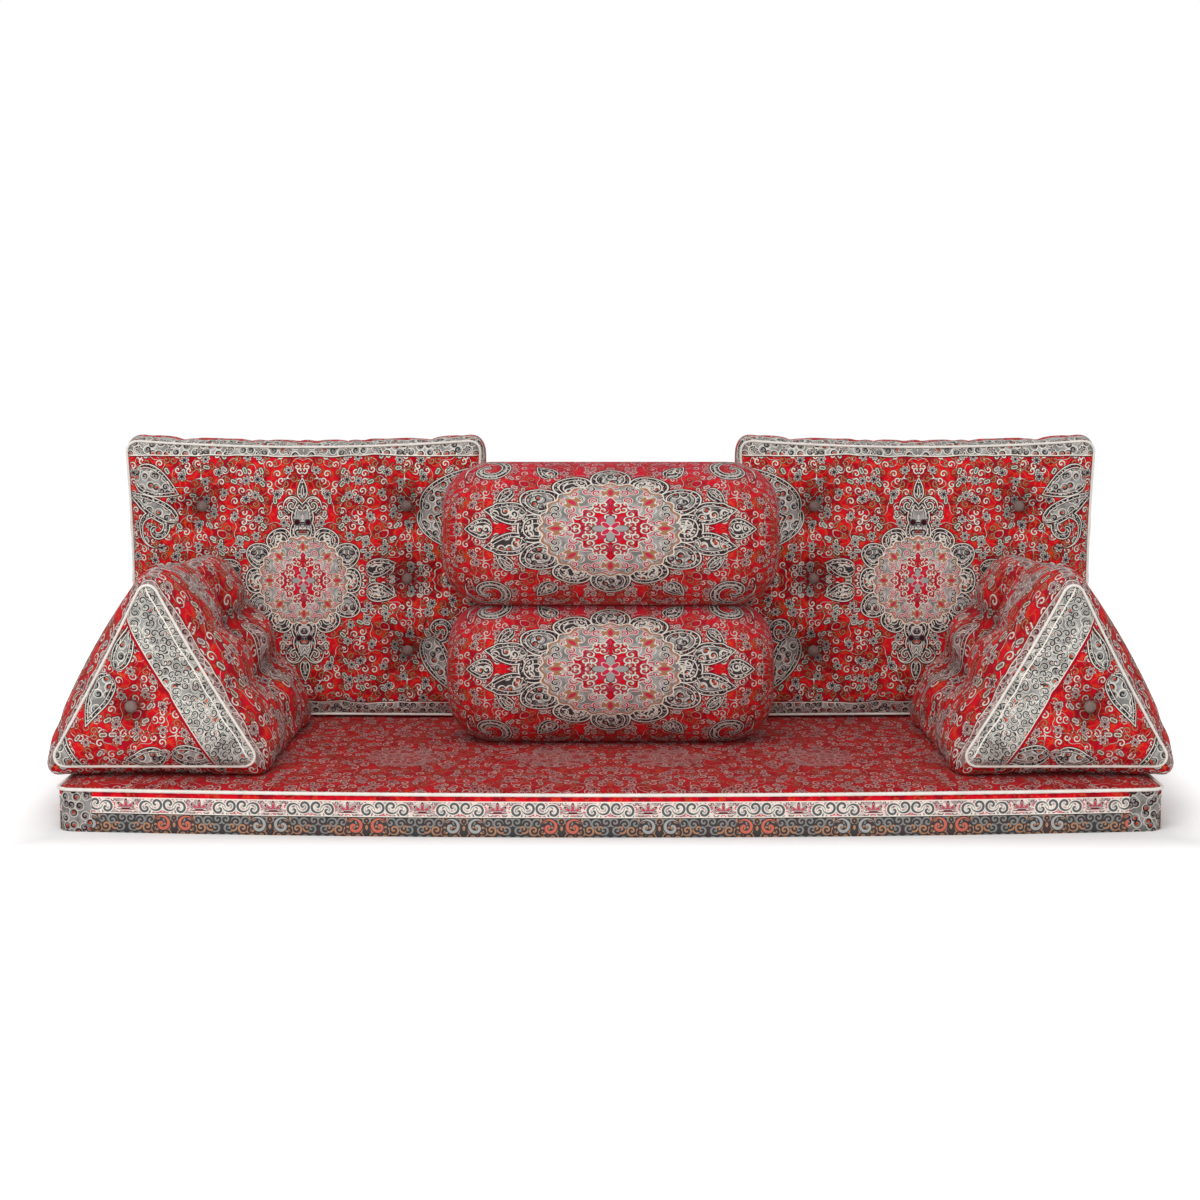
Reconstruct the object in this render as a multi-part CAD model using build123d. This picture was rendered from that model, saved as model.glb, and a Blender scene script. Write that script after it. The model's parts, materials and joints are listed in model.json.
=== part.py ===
from build123d import *
import math
import os

# Majlis floor sofa: a long seat mattress on the floor, two tufted back cushions standing on it,
# a tufted wedge arm cushion at each end and two round bolsters stacked in the middle.
# Millimetres. +X runs to the viewer's right, +Y to the back, +Z up, and the sofa faces -Y.
# The origin is the middle of the mattress's flat underside.

# Cloth, seams and gaps that every cushion shares
cloth = 2.0
filling_gap = 0.8
rest_gap = 0.3
piping_r = 3.0
piping_gap = 0.3
piping_lift_share = 0.5
piping_stand = 2 * piping_r + piping_gap
crown_angles_share = (0, 16, 32, 48, 64, 80)
corner_room_share = 0.6
overrun = 20.0

# Tuft buttons and their twine
button_r = 11.0
button_rim = 2.0
button_height = 5.0
button_room = 1.5
twine_r = 1.0
twine_gap = 0.5
tuft_lift = 3.0

# Mattress
mattress_length = 1890.0
mattress_depth = 784.0
mattress_band = 73.0
mattress_crown = 7.0
mattress_crown_reach = 60.0
mattress_corner_r = 26.0
mattress_front_bow = 50.0
mattress_end_draw = 5.0
wadding_thickness = 12.0

# Zip in the mattress's rear band
zip_end_margin = 195.0
zip_length = mattress_length - 2 * zip_end_margin
zip_opening = 16.0
zip_tape = 1.0
zip_tape_inset = 0.5
tooth_pitch = 10.0
tooth_length = 6.0
tooth_height = 5.2
tooth_thickness = 2.6
slider_length = 16.0
slider_wall = 2.5
slider_plate = 2.0
slider_gap = 0.4
slider_end_room = 15.0
bail_inside = 8.0
bail_rise = 3.0
bail_width = 3.0
bail_thickness = 1.5
pull_length = 30.0
pull_thickness = 1.6
pull_arm = 2.0
pull_gap = 0.5
pull_bar_r = 1.1

# Back cushions
back_width = 690.0
back_height = 540.0
back_band = 100.0
back_belly = 6.0
back_crown = 28.0
back_rear_crown = 10.0
back_crown_reach = 190.0
back_rear_reach = 150.0
back_corner_r = 22.0
back_side_draw = 9.0
back_top_draw = 13.0
back_foot_draw = 2.0
back_tuft_columns = 2
back_tuft_rows = 3
back_tuft_pitch_x = 400.0
back_tuft_pitch_z = 143.0
back_tuft_depth = 24.0
back_tuft_reach = 66.0
back_rear_tuft_depth = 8.0
back_rear_tuft_reach = 50.0

# Wedge arm cushions
arm_width = 368.0
arm_height = 330.0
arm_depth = 570.0
arm_peak_share = 0.48
arm_overhang = 27.0
arm_foot_belly = 22.0
arm_slope_belly = 11.0
arm_rear_peak_shift = 38.0
arm_rear_peak_drop = 28.0
arm_rear_spread = 13.0
arm_crown = 27.0
arm_rear_crown = 8.0
arm_crown_reach_share = 0.78
arm_corner_r = 17.0
arm_side_draw = 4.0
arm_foot_draw = 0.0
arm_back_gap = 6.0
arm_belly_places_share = (0, 0.05, 0.16, 0.5, 0.84, 0.95, 1)
arm_belly_share = (0, 0.5, 0.9, 1, 0.9, 0.5, 0)
arm_end_tuft_x = 146.0
arm_end_tuft_z = 104.0
arm_end_tuft_depth = 20.0
arm_end_tuft_reach = 62.0
arm_rear_tuft_depth = 6.0
arm_rear_tuft_reach = 42.0
arm_slope_tuft_heights = (118.0, 212.0)
arm_slope_tuft_place = 270.0
arm_slope_tuft_depth = 24.0
arm_slope_tuft_reach = 68.0

# Bolsters
bolster_r = 134.0
lower_bolster_length = 606.0
upper_bolster_length = 622.0
bolster_press = 5.5
bolster_back_gap = 67.0
bolster_shoulder_length = 96.0
bolster_shoulder_drop = 76.0
bolster_gather_dip = 10.0
bolster_hole_r = 9.0
bolster_button_r = 22.0
bolster_button_rim = 4.0
bolster_button_height = 9.0
gather_cord_r = 2.0

# Places worked out from the sizes above
mattress_top = mattress_band + mattress_crown
rest_z = mattress_top + rest_gap
back_x = mattress_length / 2 - back_width / 2
back_rear_y = mattress_depth / 2 - back_rear_crown
back_front_y = back_rear_y - back_band - back_crown
back_seat_z = rest_z + piping_stand
arm_rear_y = back_front_y - arm_back_gap - arm_rear_crown
arm_outer_x = mattress_length / 2 + arm_overhang
arm_seat_z = rest_z + arm_foot_belly
bolster_y = back_front_y - bolster_back_gap - bolster_r
lower_bolster_z = rest_z + bolster_r - bolster_press
upper_bolster_z = lower_bolster_z + bolster_r - bolster_press + rest_gap + bolster_r - bolster_press


def moved_corners(corners, insets):
    """Corners of the polygon whose sides lie the given distances inside the old ones."""
    sides = []
    for index, inset in enumerate(insets):
        start = Vector(*corners[index])
        along = (Vector(*corners[(index + 1) % len(corners)]) - start).normalized()
        sides.append((start + Vector(-along.Y, along.X) * inset, along))
    moved = []
    for index, (start, along) in enumerate(sides):
        before, before_along = sides[index - 1]
        cross = before_along.X * along.Y - before_along.Y * along.X
        step = ((start.X - before.X) * along.Y - (start.Y - before.Y) * along.X) / cross
        moved.append((before.X + before_along.X * step, before.Y + before_along.Y * step))
    return moved


def outline(corners, draws, corner_r):
    """A face with rounded corners whose sides are each drawn in by an arc, or out if it is negative."""
    edges = []
    for index, draw in enumerate(draws):
        start = Vector(*corners[index])
        end = Vector(*corners[(index + 1) % len(corners)])
        along = (end - start).normalized()
        middle = (start + end) / 2 + Vector(-along.Y, along.X) * draw
        edges.append(ThreePointArc(start, middle, end) if draw else Line(start, end))
    face = make_face(edges)
    return fillet(face.vertices(), corner_r)


def inner_radius(corners):
    """Radius of the circle that a triangle holds, and about that of the one that a rectangle holds."""
    pairs = [(Vector(*corners[index - 1]), Vector(*corners[index])) for index in range(len(corners))]
    area = sum(start.X * end.Y - end.X * start.Y for start, end in pairs) / 2
    return 2 * area / sum((end - start).length for start, end in pairs)


def inner_centre(corners):
    """Centre of the circle that a triangle holds."""
    points = [Vector(*corner) for corner in corners]
    weights = [(points[index - 1] - points[(index + 1) % len(points)]).length for index in range(len(points))]
    return sum((point * weight for point, weight in zip(points, weights)), Vector(0, 0)) / sum(weights)


def inset_outline(shape, inset):
    """The outline of a shape (corners, draws, corner radius), set in on every side, or out if negative."""
    corners, draws, corner_r = shape
    inner = moved_corners(corners, [inset] * len(corners))
    scaled = []
    for index, draw in enumerate(draws):
        after = (index + 1) % len(corners)
        ratio = math.dist(inner[index], inner[after]) / math.dist(corners[index], corners[after])
        scaled.append(draw * ratio ** 2)
    radius = min(corner_r - min(inset, 0), corner_room_share * inner_radius(inner))
    return outline(inner, scaled, radius)


def crown_levels(rise, reach, skin):
    """Inset and height of a crown's sections, on an ellipse, from the seam up."""
    levels = []
    for angle in crown_angles_share:
        turn = math.radians(angle)
        levels.append((skin + reach * (1 - math.cos(turn)), (rise - skin) * math.sin(turn)))
    return levels


def crown(shape, rise, reach, skin, facing=1):
    """A crowned dome on the plane z = 0, up or down, its face lying skin inside the cloth's outer face."""
    return loft([Pos(0, 0, facing * height) * inset_outline(shape, inset)
                 for inset, height in crown_levels(rise, reach, skin)], ruled=True)


def tuft_cut(depth, reach, skin):
    """The space over a sewn dimple: a rounded funnel down to the flat seat of its button."""
    seat_r = button_r + button_room
    full_depth = depth + tuft_lift
    arc_r = ((reach - seat_r) ** 2 + full_depth ** 2) / (2 * full_depth)
    arc_z = tuft_lift - arc_r
    wall_r = arc_r - skin
    floor_z = -depth - skin
    floor_r = reach - math.sqrt(wall_r ** 2 - (floor_z - arc_z) ** 2)
    half_turn = math.atan2(reach - floor_r, floor_z - arc_z) / 2
    middle = (reach - wall_r * math.sin(half_turn), 0, arc_z + wall_r * math.cos(half_turn))
    rim_z = tuft_lift - skin
    profile = make_face([
        Line((0, 0, floor_z), (floor_r, 0, floor_z)),
        ThreePointArc((floor_r, 0, floor_z), middle, (reach, 0, rim_z)),
        Polyline((reach, 0, rim_z), (reach, 0, overrun), (0, 0, overrun), (0, 0, floor_z)),
    ])
    return revolve(profile, Axis.Z)


def button(radius, rim, height):
    """A covered button with its base on z = 0 and a domed top, a cap of a sphere."""
    dome = height - rim
    dome_r = (radius ** 2 + dome ** 2) / (2 * dome)
    disc = Cylinder(radius, height, align=(Align.CENTER, Align.CENTER, Align.MIN))
    return disc & Pos(0, 0, height - dome_r) * Sphere(dome_r)


def rod(start, end, radius):
    """A round straight rod between two points."""
    start = Vector(*start)
    end = Vector(*end)
    plane = Plane(origin=start, z_dir=end - start)
    return plane * Cylinder(radius, (end - start).length, align=(Align.CENTER, Align.CENTER, Align.MIN))


def piping(shape):
    """The corded piping sewn round a panel's edge, in the plane z = 0."""
    path = inset_outline(shape, -piping_r - piping_gap).faces()[0].outer_wire()
    section = Plane(origin=path @ 0, z_dir=path % 0) * Circle(piping_r)
    return sweep(section, path=path)


def save(name, part):
    """Write one node's STEP file."""
    export_step(part, f"parts/{name}.step")
    print(name, round(part.volume))


def joined(parts):
    """Several separate solids as one node."""
    return Compound(children=[solid for part in parts for solid in part.solids()])


def mattress():
    """Seat mattress: zipped cover over a foam slab with a layer of wadding."""
    half_length = mattress_length / 2
    half_depth = mattress_depth / 2
    corners = [(-half_length, -half_depth), (half_length, -half_depth),
               (half_length, half_depth), (-half_length, half_depth)]
    shape = (corners, (-mattress_front_bow, mattress_end_draw, 0, mattress_end_draw), mattress_corner_r)
    sheet = inset_outline(shape, 0)
    inner = inset_outline(shape, cloth)
    slab = inset_outline(shape, cloth + filling_gap)

    save("mattress_bottom_panel", extrude(sheet, cloth))
    band = Pos(0, 0, cloth) * (extrude(sheet, mattress_band - cloth) - extrude(inner, mattress_band - cloth))
    zip_z = (cloth + mattress_band) / 2
    slot = Pos(0, half_depth, zip_z) * Box(zip_length, overrun, zip_opening)
    save("mattress_boxing", band - slot)

    seam = Pos(0, 0, mattress_band)
    top = crown(shape, mattress_crown, mattress_crown_reach, 0)
    save("mattress_top_panel", seam * (top - crown(shape, mattress_crown, mattress_crown_reach, cloth)))
    save("mattress_top_piping", seam * piping(shape))

    slab_top = mattress_band - wadding_thickness
    foam_z = cloth + filling_gap
    save("mattress_foam_slab", Pos(0, 0, foam_z) * extrude(slab, slab_top - foam_z))
    wadding = Pos(0, 0, slab_top) * extrude(slab, wadding_thickness)
    crowned = crown(shape, mattress_crown, mattress_crown_reach, cloth + filling_gap)
    save("mattress_wadding", wadding + seam * crowned)
    mattress_zip(half_depth, zip_z)


def mattress_zip(band_y, zip_z):
    """Zip along the rear band: two tapes, the chain of teeth, the slider and its pull."""
    tape_outer = band_y - zip_tape_inset
    tape_height = (zip_opening - tooth_height) / 2
    tape_z = (tooth_height + tape_height) / 2
    tape = Box(zip_length, zip_tape, tape_height, align=(Align.CENTER, Align.MAX, Align.CENTER))
    save("mattress_zip_tapes", joined([Pos(0, tape_outer, zip_z + side * tape_z) * tape for side in (-1, 1)]))

    tooth_y = tape_outer - zip_tape
    tooth = Box(tooth_length, tooth_thickness, tooth_height, align=(Align.CENTER, Align.MIN, Align.CENTER))
    tooth_count = int(zip_length / tooth_pitch)
    save("mattress_zip_teeth", joined([
        Pos((index - (tooth_count - 1) / 2) * tooth_pitch, tooth_y, zip_z) * tooth
        for index in range(tooth_count)]))

    slider_x = zip_length / 2 - slider_end_room
    inside_height = tooth_height + 2 * slider_gap
    channel = tooth_y + tooth_thickness + slider_gap - (tape_outer + rest_gap)
    face = (Align.CENTER, Align.MIN, Align.CENTER)
    body = Box(slider_length, channel + slider_plate, inside_height + 2 * slider_wall, align=face)
    body = fillet(body.edges().filter_by(Axis.Y), slider_wall / 2)
    body -= Box(slider_length, channel, inside_height, align=face)
    plate_y = channel + slider_plate
    bail = Box(bail_inside + 2 * bail_thickness, bail_rise + bail_thickness, bail_width, align=face)
    bail -= Box(bail_inside, bail_rise, bail_width, align=face)
    slider = body + Pos(0, plate_y, 0) * bail
    place = Pos(slider_x, tape_outer + rest_gap, zip_z)
    save("mattress_zip_slider", place * slider)

    arm_z = bail_width / 2 + pull_gap + pull_arm / 2
    bar = rod((0, 0, -arm_z - pull_arm / 2), (0, 0, arm_z + pull_arm / 2), pull_bar_r)
    reach = math.hypot(bail_inside / 2 + bail_thickness, bail_rise / 2 + bail_thickness) + pull_gap
    end = (Align.MAX, Align.CENTER, Align.CENTER)
    pull = bar
    for side in (-1, 1):
        pull += Pos(0, 0, side * arm_z) * Box(reach, pull_thickness, pull_arm, align=end)
    tab = Box(pull_length - reach, pull_thickness, 2 * arm_z + pull_arm, align=end)
    tab = fillet(tab.edges().filter_by(Axis.Y), pull_arm)
    pull += Pos(-reach, 0, 0) * tab
    save("mattress_zip_pull", place * Pos(0, plate_y + bail_rise / 2, 0) * pull)


def back_cushion():
    """Pieces of a back cushion lying down: x across, y up its height, z from its rear seam to its front."""
    pieces = {}
    half_width = back_width / 2
    corners = [(-half_width, 0), (half_width, 0), (half_width, back_height), (-half_width, back_height)]
    draws = (back_foot_draw, back_side_draw, back_top_draw, back_side_draw)
    shape = (corners, draws, back_corner_r)
    front = Pos(0, 0, back_band)
    rear = Rot(0, 180, 0)

    places = [((column - (back_tuft_columns - 1) / 2) * back_tuft_pitch_x,
               back_height / 2 + (row - (back_tuft_rows - 1) / 2) * back_tuft_pitch_z)
              for column in range(back_tuft_columns) for row in range(back_tuft_rows)]
    front_z = back_band + back_crown
    holes = [Pos(x, y, 0) * Cylinder(twine_r + twine_gap, 4 * back_band) for x, y in places]

    def front_cuts(skin):
        return [Pos(x, y, front_z) * tuft_cut(back_tuft_depth, back_tuft_reach, skin) for x, y in places]

    def rear_cuts(skin):
        cut = tuft_cut(back_rear_tuft_depth, back_rear_tuft_reach, skin)
        return [Pos(x, y, -back_rear_crown) * rear * cut for x, y in places]

    panel = front * crown(shape, back_crown, back_crown_reach, 0) - front_cuts(0)
    panel -= front * crown(shape, back_crown, back_crown_reach, cloth) - front_cuts(cloth)
    pieces["front_panel"] = panel - holes
    panel = crown(shape, back_rear_crown, back_rear_reach, 0, -1) - rear_cuts(0)
    panel -= crown(shape, back_rear_crown, back_rear_reach, cloth, -1) - rear_cuts(cloth)
    pieces["rear_panel"] = panel - holes

    def banded(skin):
        levels = [(skin, 0), (skin - back_belly, back_band / 2), (skin, back_band)]
        return loft([Pos(0, 0, height) * inset_outline(shape, inset) for inset, height in levels])

    pieces["boxing"] = banded(0) - banded(cloth)
    pieces["front_piping"] = front * Pos(0, 0, piping_r * piping_lift_share) * piping(shape)
    pieces["rear_piping"] = Pos(0, 0, -piping_r * piping_lift_share) * piping(shape)

    skin = cloth + filling_gap
    levels = [(inset, -height) for inset, height in crown_levels(back_rear_crown, back_rear_reach, skin)]
    levels = levels[::-1] + [(skin - back_belly, back_band / 2)]
    levels += [(inset, back_band + height) for inset, height in crown_levels(back_crown, back_crown_reach, skin)]
    filling = loft([Pos(0, 0, height) * inset_outline(shape, inset) for inset, height in levels], ruled=True)
    pieces["filling"] = filling - front_cuts(skin) - rear_cuts(skin) - holes

    seat = front_z - back_tuft_depth
    rear_seat = back_rear_tuft_depth - back_rear_crown
    stud = button(button_r, button_rim, button_height)
    pieces["tuft_buttons"] = joined([Pos(x, y, seat) * stud for x, y in places]
                                    + [Pos(x, y, rear_seat) * rear * stud for x, y in places])
    pieces["tuft_twines"] = joined([rod((x, y, rear_seat), (x, y, seat), twine_r) for x, y in places])
    return pieces


def arm_corners(along_share, slope_belly, foot_belly):
    """Corners of the wedge's triangle at a share of its depth from the rear, swollen by its bellies."""
    rear_share = 1 - along_share
    corners = [(0, 0), (arm_width + arm_rear_spread * rear_share, 0),
               (arm_width * arm_peak_share + arm_rear_peak_shift * rear_share,
                arm_height - arm_rear_peak_drop * rear_share)]
    return moved_corners(corners, (-foot_belly, -slope_belly, -slope_belly))


def arm_cushion():
    """Pieces of a wedge arm cushion: x from its outer foot inwards, y up, z from its rear seam to its front."""
    pieces = {}
    draws = (arm_foot_draw, arm_side_draw, arm_side_draw)
    front_shape = (arm_corners(1, 0, 0), draws, arm_corner_r)
    rear_shape = (arm_corners(0, 0, 0), draws, arm_corner_r)
    front = Pos(0, 0, arm_depth)
    rear = Rot(0, 180, 0)
    front_reach = arm_crown_reach_share * inner_radius(front_shape[0])
    rear_reach = arm_crown_reach_share * inner_radius(rear_shape[0])

    def body(skin, ruled):
        sections = []
        for along_share, belly_share in zip(arm_belly_places_share, arm_belly_share):
            corners = arm_corners(along_share, arm_slope_belly * belly_share, arm_foot_belly * belly_share)
            section = inset_outline((corners, draws, arm_corner_r), skin)
            sections.append(Pos(0, 0, arm_depth * along_share) * section)
        return loft(sections, ruled=ruled)

    # Tufts: one through the end faces, and two through the slopes at the same heights
    end_front = Vector(arm_end_tuft_x, arm_end_tuft_z, arm_depth + arm_crown)
    end_rear = Vector(arm_end_tuft_x, arm_end_tuft_z, -arm_rear_crown)
    middle_corners = [Vector(*corner) for corner in arm_corners(0.5, arm_slope_belly, arm_foot_belly)]
    slope_planes = []
    for height in arm_slope_tuft_heights:
        for foot, inwards in ((middle_corners[0], -1), (middle_corners[1], 1)):
            slope = (middle_corners[2] - foot).normalized()
            point = foot + slope * ((height - foot.Y) / slope.Y)
            normal = Vector(slope.Y, -slope.X) * inwards
            slope_planes.append(Plane(origin=(point.X, point.Y, arm_slope_tuft_place), z_dir=normal))

    slope_seats = [plane.origin - plane.z_dir * arm_slope_tuft_depth for plane in slope_planes]
    hole_r = twine_r + twine_gap
    slope_pairs = list(zip(slope_seats[::2], slope_seats[1::2]))
    slope_holes = [rod(tuple(outer), tuple(inner), hole_r) for outer, inner in slope_pairs]
    end_hole = Pos(arm_end_tuft_x, arm_end_tuft_z, 0) * Cylinder(hole_r, 4 * arm_depth)

    def slope_cuts(skin):
        return [plane * tuft_cut(arm_slope_tuft_depth, arm_slope_tuft_reach, skin) for plane in slope_planes]

    def end_cut(skin):
        return Pos(end_front) * tuft_cut(arm_end_tuft_depth, arm_end_tuft_reach, skin)

    def rear_cut(skin):
        return Pos(end_rear) * rear * tuft_cut(arm_rear_tuft_depth, arm_rear_tuft_reach, skin)

    panel = front * crown(front_shape, arm_crown, front_reach, 0) - end_cut(0)
    panel -= front * crown(front_shape, arm_crown, front_reach, cloth) - end_cut(cloth)
    pieces["front_panel"] = panel - end_hole
    panel = crown(rear_shape, arm_rear_crown, rear_reach, 0, -1) - rear_cut(0)
    panel -= crown(rear_shape, arm_rear_crown, rear_reach, cloth, -1) - rear_cut(cloth)
    pieces["rear_panel"] = panel - end_hole

    cover = (body(0, False) - slope_cuts(0)) - (body(cloth, False) - slope_cuts(cloth))
    cover -= slope_holes
    # The base panel's long seams run along the two lower corners, half way round them
    centre = inner_centre(arm_corners(0.5, 0, 0))
    outer_seam, inner_seam = [centre + (Vector(*corner) - centre) * 2 for corner in arm_corners(0.5, 0, 0)[:2]]
    low = extrude(make_face(Polyline(centre, outer_seam, inner_seam, close=True)), 2 * arm_depth, both=True)
    pieces["base_panel"] = cover & low
    pieces["wrap_panel"] = cover - low
    pieces["front_piping"] = front * Pos(0, 0, piping_r * piping_lift_share) * piping(front_shape)
    pieces["rear_piping"] = Pos(0, 0, -piping_r * piping_lift_share) * piping(rear_shape)

    skin = cloth + filling_gap
    filling = body(skin, True)
    filling += front * crown(front_shape, arm_crown, front_reach, skin)
    filling += crown(rear_shape, arm_rear_crown, rear_reach, skin, -1)
    filling -= slope_cuts(skin) + [end_cut(skin), rear_cut(skin), end_hole] + slope_holes
    pieces["filling"] = filling

    stud = button(button_r, button_rim, button_height)
    front_seat = end_front - Vector(0, 0, arm_end_tuft_depth)
    rear_seat = end_rear + Vector(0, 0, arm_rear_tuft_depth)
    buttons = [Plane(origin=seat, z_dir=plane.z_dir) * stud for seat, plane in zip(slope_seats, slope_planes)]
    buttons += [Pos(front_seat) * stud, Pos(rear_seat) * rear * stud]
    pieces["tuft_buttons"] = joined(buttons)
    twines = [rod(tuple(outer), tuple(inner), twine_r) - buttons for outer, inner in slope_pairs]
    twines.append(rod(tuple(rear_seat), tuple(front_seat), twine_r))
    pieces["tuft_twines"] = joined(twines)
    return pieces


def bolster_body(length, skin, pressed_above):
    """A round bolster along X, pressed flat where it rests, its face skin inside the cloth's outer face."""
    half = length / 2
    arc_r = (bolster_shoulder_length ** 2 + bolster_shoulder_drop ** 2) / (2 * bolster_shoulder_drop)
    wall_r = arc_r - skin
    arc_x = half - bolster_shoulder_length
    arc_z = bolster_r - arc_r
    end_x = half - skin
    end_z = arc_z + math.sqrt(wall_r ** 2 - (end_x - arc_x) ** 2)
    half_turn = math.atan2(end_x - arc_x, end_z - arc_z) / 2
    middle = (arc_x + wall_r * math.sin(half_turn), 0, arc_z + wall_r * math.cos(half_turn))
    dip_x = half - bolster_gather_dip - skin
    side_z = bolster_r - skin
    profile = make_face([
        Line((0, 0, side_z), (arc_x, 0, side_z)),
        ThreePointArc((arc_x, 0, side_z), middle, (end_x, 0, end_z)),
        Polyline((end_x, 0, end_z), (dip_x, 0, bolster_hole_r), (dip_x, 0, 0), (0, 0, 0), (0, 0, side_z)),
    ])
    half_solid = revolve(profile, Axis.X)
    solid = half_solid + mirror(half_solid, about=Plane.YZ)
    low = bolster_r - bolster_press - skin
    high = low if pressed_above else bolster_r
    keep = Box(2 * length, 4 * bolster_r, low + high, align=(Align.CENTER, Align.CENTER, Align.MIN))
    return solid & Pos(0, 0, -low) * keep


def bolster(length, pressed_above):
    """Pieces of a bolster: gathered cover, filling, and at each end a gather cord under a covered button."""
    pieces = {}
    bore = Rot(0, 90, 0) * Cylinder(bolster_hole_r, 2 * length)
    cover = bolster_body(length, 0, pressed_above) - bolster_body(length, cloth, pressed_above)
    pieces["cover"] = cover - bore
    pieces["filling"] = bolster_body(length, cloth + filling_gap, pressed_above)

    rim_z = bolster_r - bolster_shoulder_drop
    dip_slope = bolster_gather_dip / (rim_z - bolster_hole_r)
    cord_ring = bolster_hole_r + gather_cord_r
    cord_x = length / 2 - bolster_gather_dip + dip_slope * gather_cord_r + gather_cord_r * math.hypot(1, dip_slope)
    seat_x = length / 2 - bolster_gather_dip + dip_slope * (bolster_button_r - bolster_hole_r)
    buttons = []
    cords = []
    for side in (-1, 1):
        outwards = Rot(0, 90 * side, 0)
        stud = button(bolster_button_r, bolster_button_rim, bolster_button_height)
        hollow = Cylinder(cord_ring + 2 * gather_cord_r, 2 * (cord_x + gather_cord_r - seat_x + rest_gap))
        buttons.append(Pos(side * seat_x, 0, 0) * outwards * (stud - hollow))
        cords.append(Pos(side * cord_x, 0, 0) * outwards * Torus(cord_ring, gather_cord_r))
    pieces["end_buttons"] = joined(buttons)
    pieces["gather_cords"] = joined(cords)
    return pieces


def main():
    """Build every cushion and write its nodes, the right-hand ones as mirror images."""
    os.makedirs("parts", exist_ok=True)
    mattress()
    upright = Rot(90, 0, 0)
    pairs = {
        "back": (Pos(-back_x, back_rear_y, back_seat_z) * upright, back_cushion()),
        "arm": (Pos(-arm_outer_x, arm_rear_y, arm_seat_z) * upright, arm_cushion()),
    }
    for kind, (place, pieces) in pairs.items():
        for piece, part in pieces.items():
            save(f"left_{kind}_{piece}", place * part)
            save(f"right_{kind}_{piece}", mirror(place * part, about=Plane.YZ))
    stack = {
        "lower": (lower_bolster_z, bolster(lower_bolster_length, True)),
        "upper": (upper_bolster_z, bolster(upper_bolster_length, False)),
    }
    for level, (height, pieces) in stack.items():
        for piece, part in pieces.items():
            save(f"{level}_bolster_{piece}", Pos(0, bolster_y, height) * part)


main()
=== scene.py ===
"""A majlis floor sofa in woven paisley cloth, dressed over its packed construction.

Metres throughout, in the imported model's frame: +X to the viewer's right, +Y to the back, +Z up.
"""

from __future__ import annotations

import json
import logging
import math
from collections.abc import Callable, Sequence
from dataclasses import dataclass, field
from enum import Enum

import bpy
import numpy as np
from bpy.types import Material, Mesh, Node, NodeSocket, NodeTree, Object
from mathutils import Matrix, Vector

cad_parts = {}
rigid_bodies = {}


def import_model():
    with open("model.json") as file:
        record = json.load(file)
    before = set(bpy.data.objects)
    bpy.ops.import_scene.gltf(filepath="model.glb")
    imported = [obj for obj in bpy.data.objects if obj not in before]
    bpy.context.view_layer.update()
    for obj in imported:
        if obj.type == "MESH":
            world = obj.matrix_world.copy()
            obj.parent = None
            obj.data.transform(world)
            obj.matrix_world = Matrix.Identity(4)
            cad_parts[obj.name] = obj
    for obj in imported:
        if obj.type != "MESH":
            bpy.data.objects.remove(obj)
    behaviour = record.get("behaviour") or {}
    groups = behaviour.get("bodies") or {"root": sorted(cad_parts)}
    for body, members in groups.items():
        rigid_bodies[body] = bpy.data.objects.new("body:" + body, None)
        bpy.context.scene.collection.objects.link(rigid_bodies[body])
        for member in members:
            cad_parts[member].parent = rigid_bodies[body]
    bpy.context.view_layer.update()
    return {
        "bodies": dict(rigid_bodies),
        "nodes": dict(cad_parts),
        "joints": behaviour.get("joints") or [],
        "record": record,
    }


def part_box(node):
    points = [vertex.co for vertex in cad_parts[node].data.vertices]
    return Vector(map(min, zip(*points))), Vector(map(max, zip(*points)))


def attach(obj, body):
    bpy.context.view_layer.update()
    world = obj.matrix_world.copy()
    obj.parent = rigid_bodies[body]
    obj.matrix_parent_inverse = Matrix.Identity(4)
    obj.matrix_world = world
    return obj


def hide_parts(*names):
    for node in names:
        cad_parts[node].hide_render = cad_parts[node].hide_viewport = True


log = logging.getLogger("majlis_sofa")

CLOTH_MAP = "cloth"
# Name of the per-point shade that is painted into a cover's tuft dimples, folds and furrows.
PAINTED_SHADE_ATTRIBUTE = "nook"
TURN = 2 * math.pi
MM = 0.001


def tone(code: str) -> tuple[float, float, float, float]:
    """Turn a written colour into the linear one that a shader takes.

    Args:
        code: Six hexadecimal digits, red first.

    Returns:
        Linear red, green and blue, and an alpha of one.
    """
    shares = [int(code[index:index + 2], 16) / 255 for index in (0, 2, 4)]
    linear = [share / 12.92 if share <= 0.04045 else ((share + 0.055) / 1.055) ** 2.4 for share in shares]
    return (linear[0], linear[1], linear[2], 1.0)


class Yarn(Enum):
    """The colours that the cloth is woven from."""

    SCARLET = tone("db0c22")
    CRIMSON = tone("a5071f")
    ORANGE = tone("d84a20")
    ROSE = tone("cf3350")
    MAROON = tone("3a0c18")
    CREAM = tone("f1eade")
    SILVER = tone("84837f")
    PALE = tone("a9a8a5")
    SLATE = tone("5c6062")
    CHARCOAL = tone("222024")
    TAN = tone("b27f5c")
    GREEN = tone("66705c")


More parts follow.
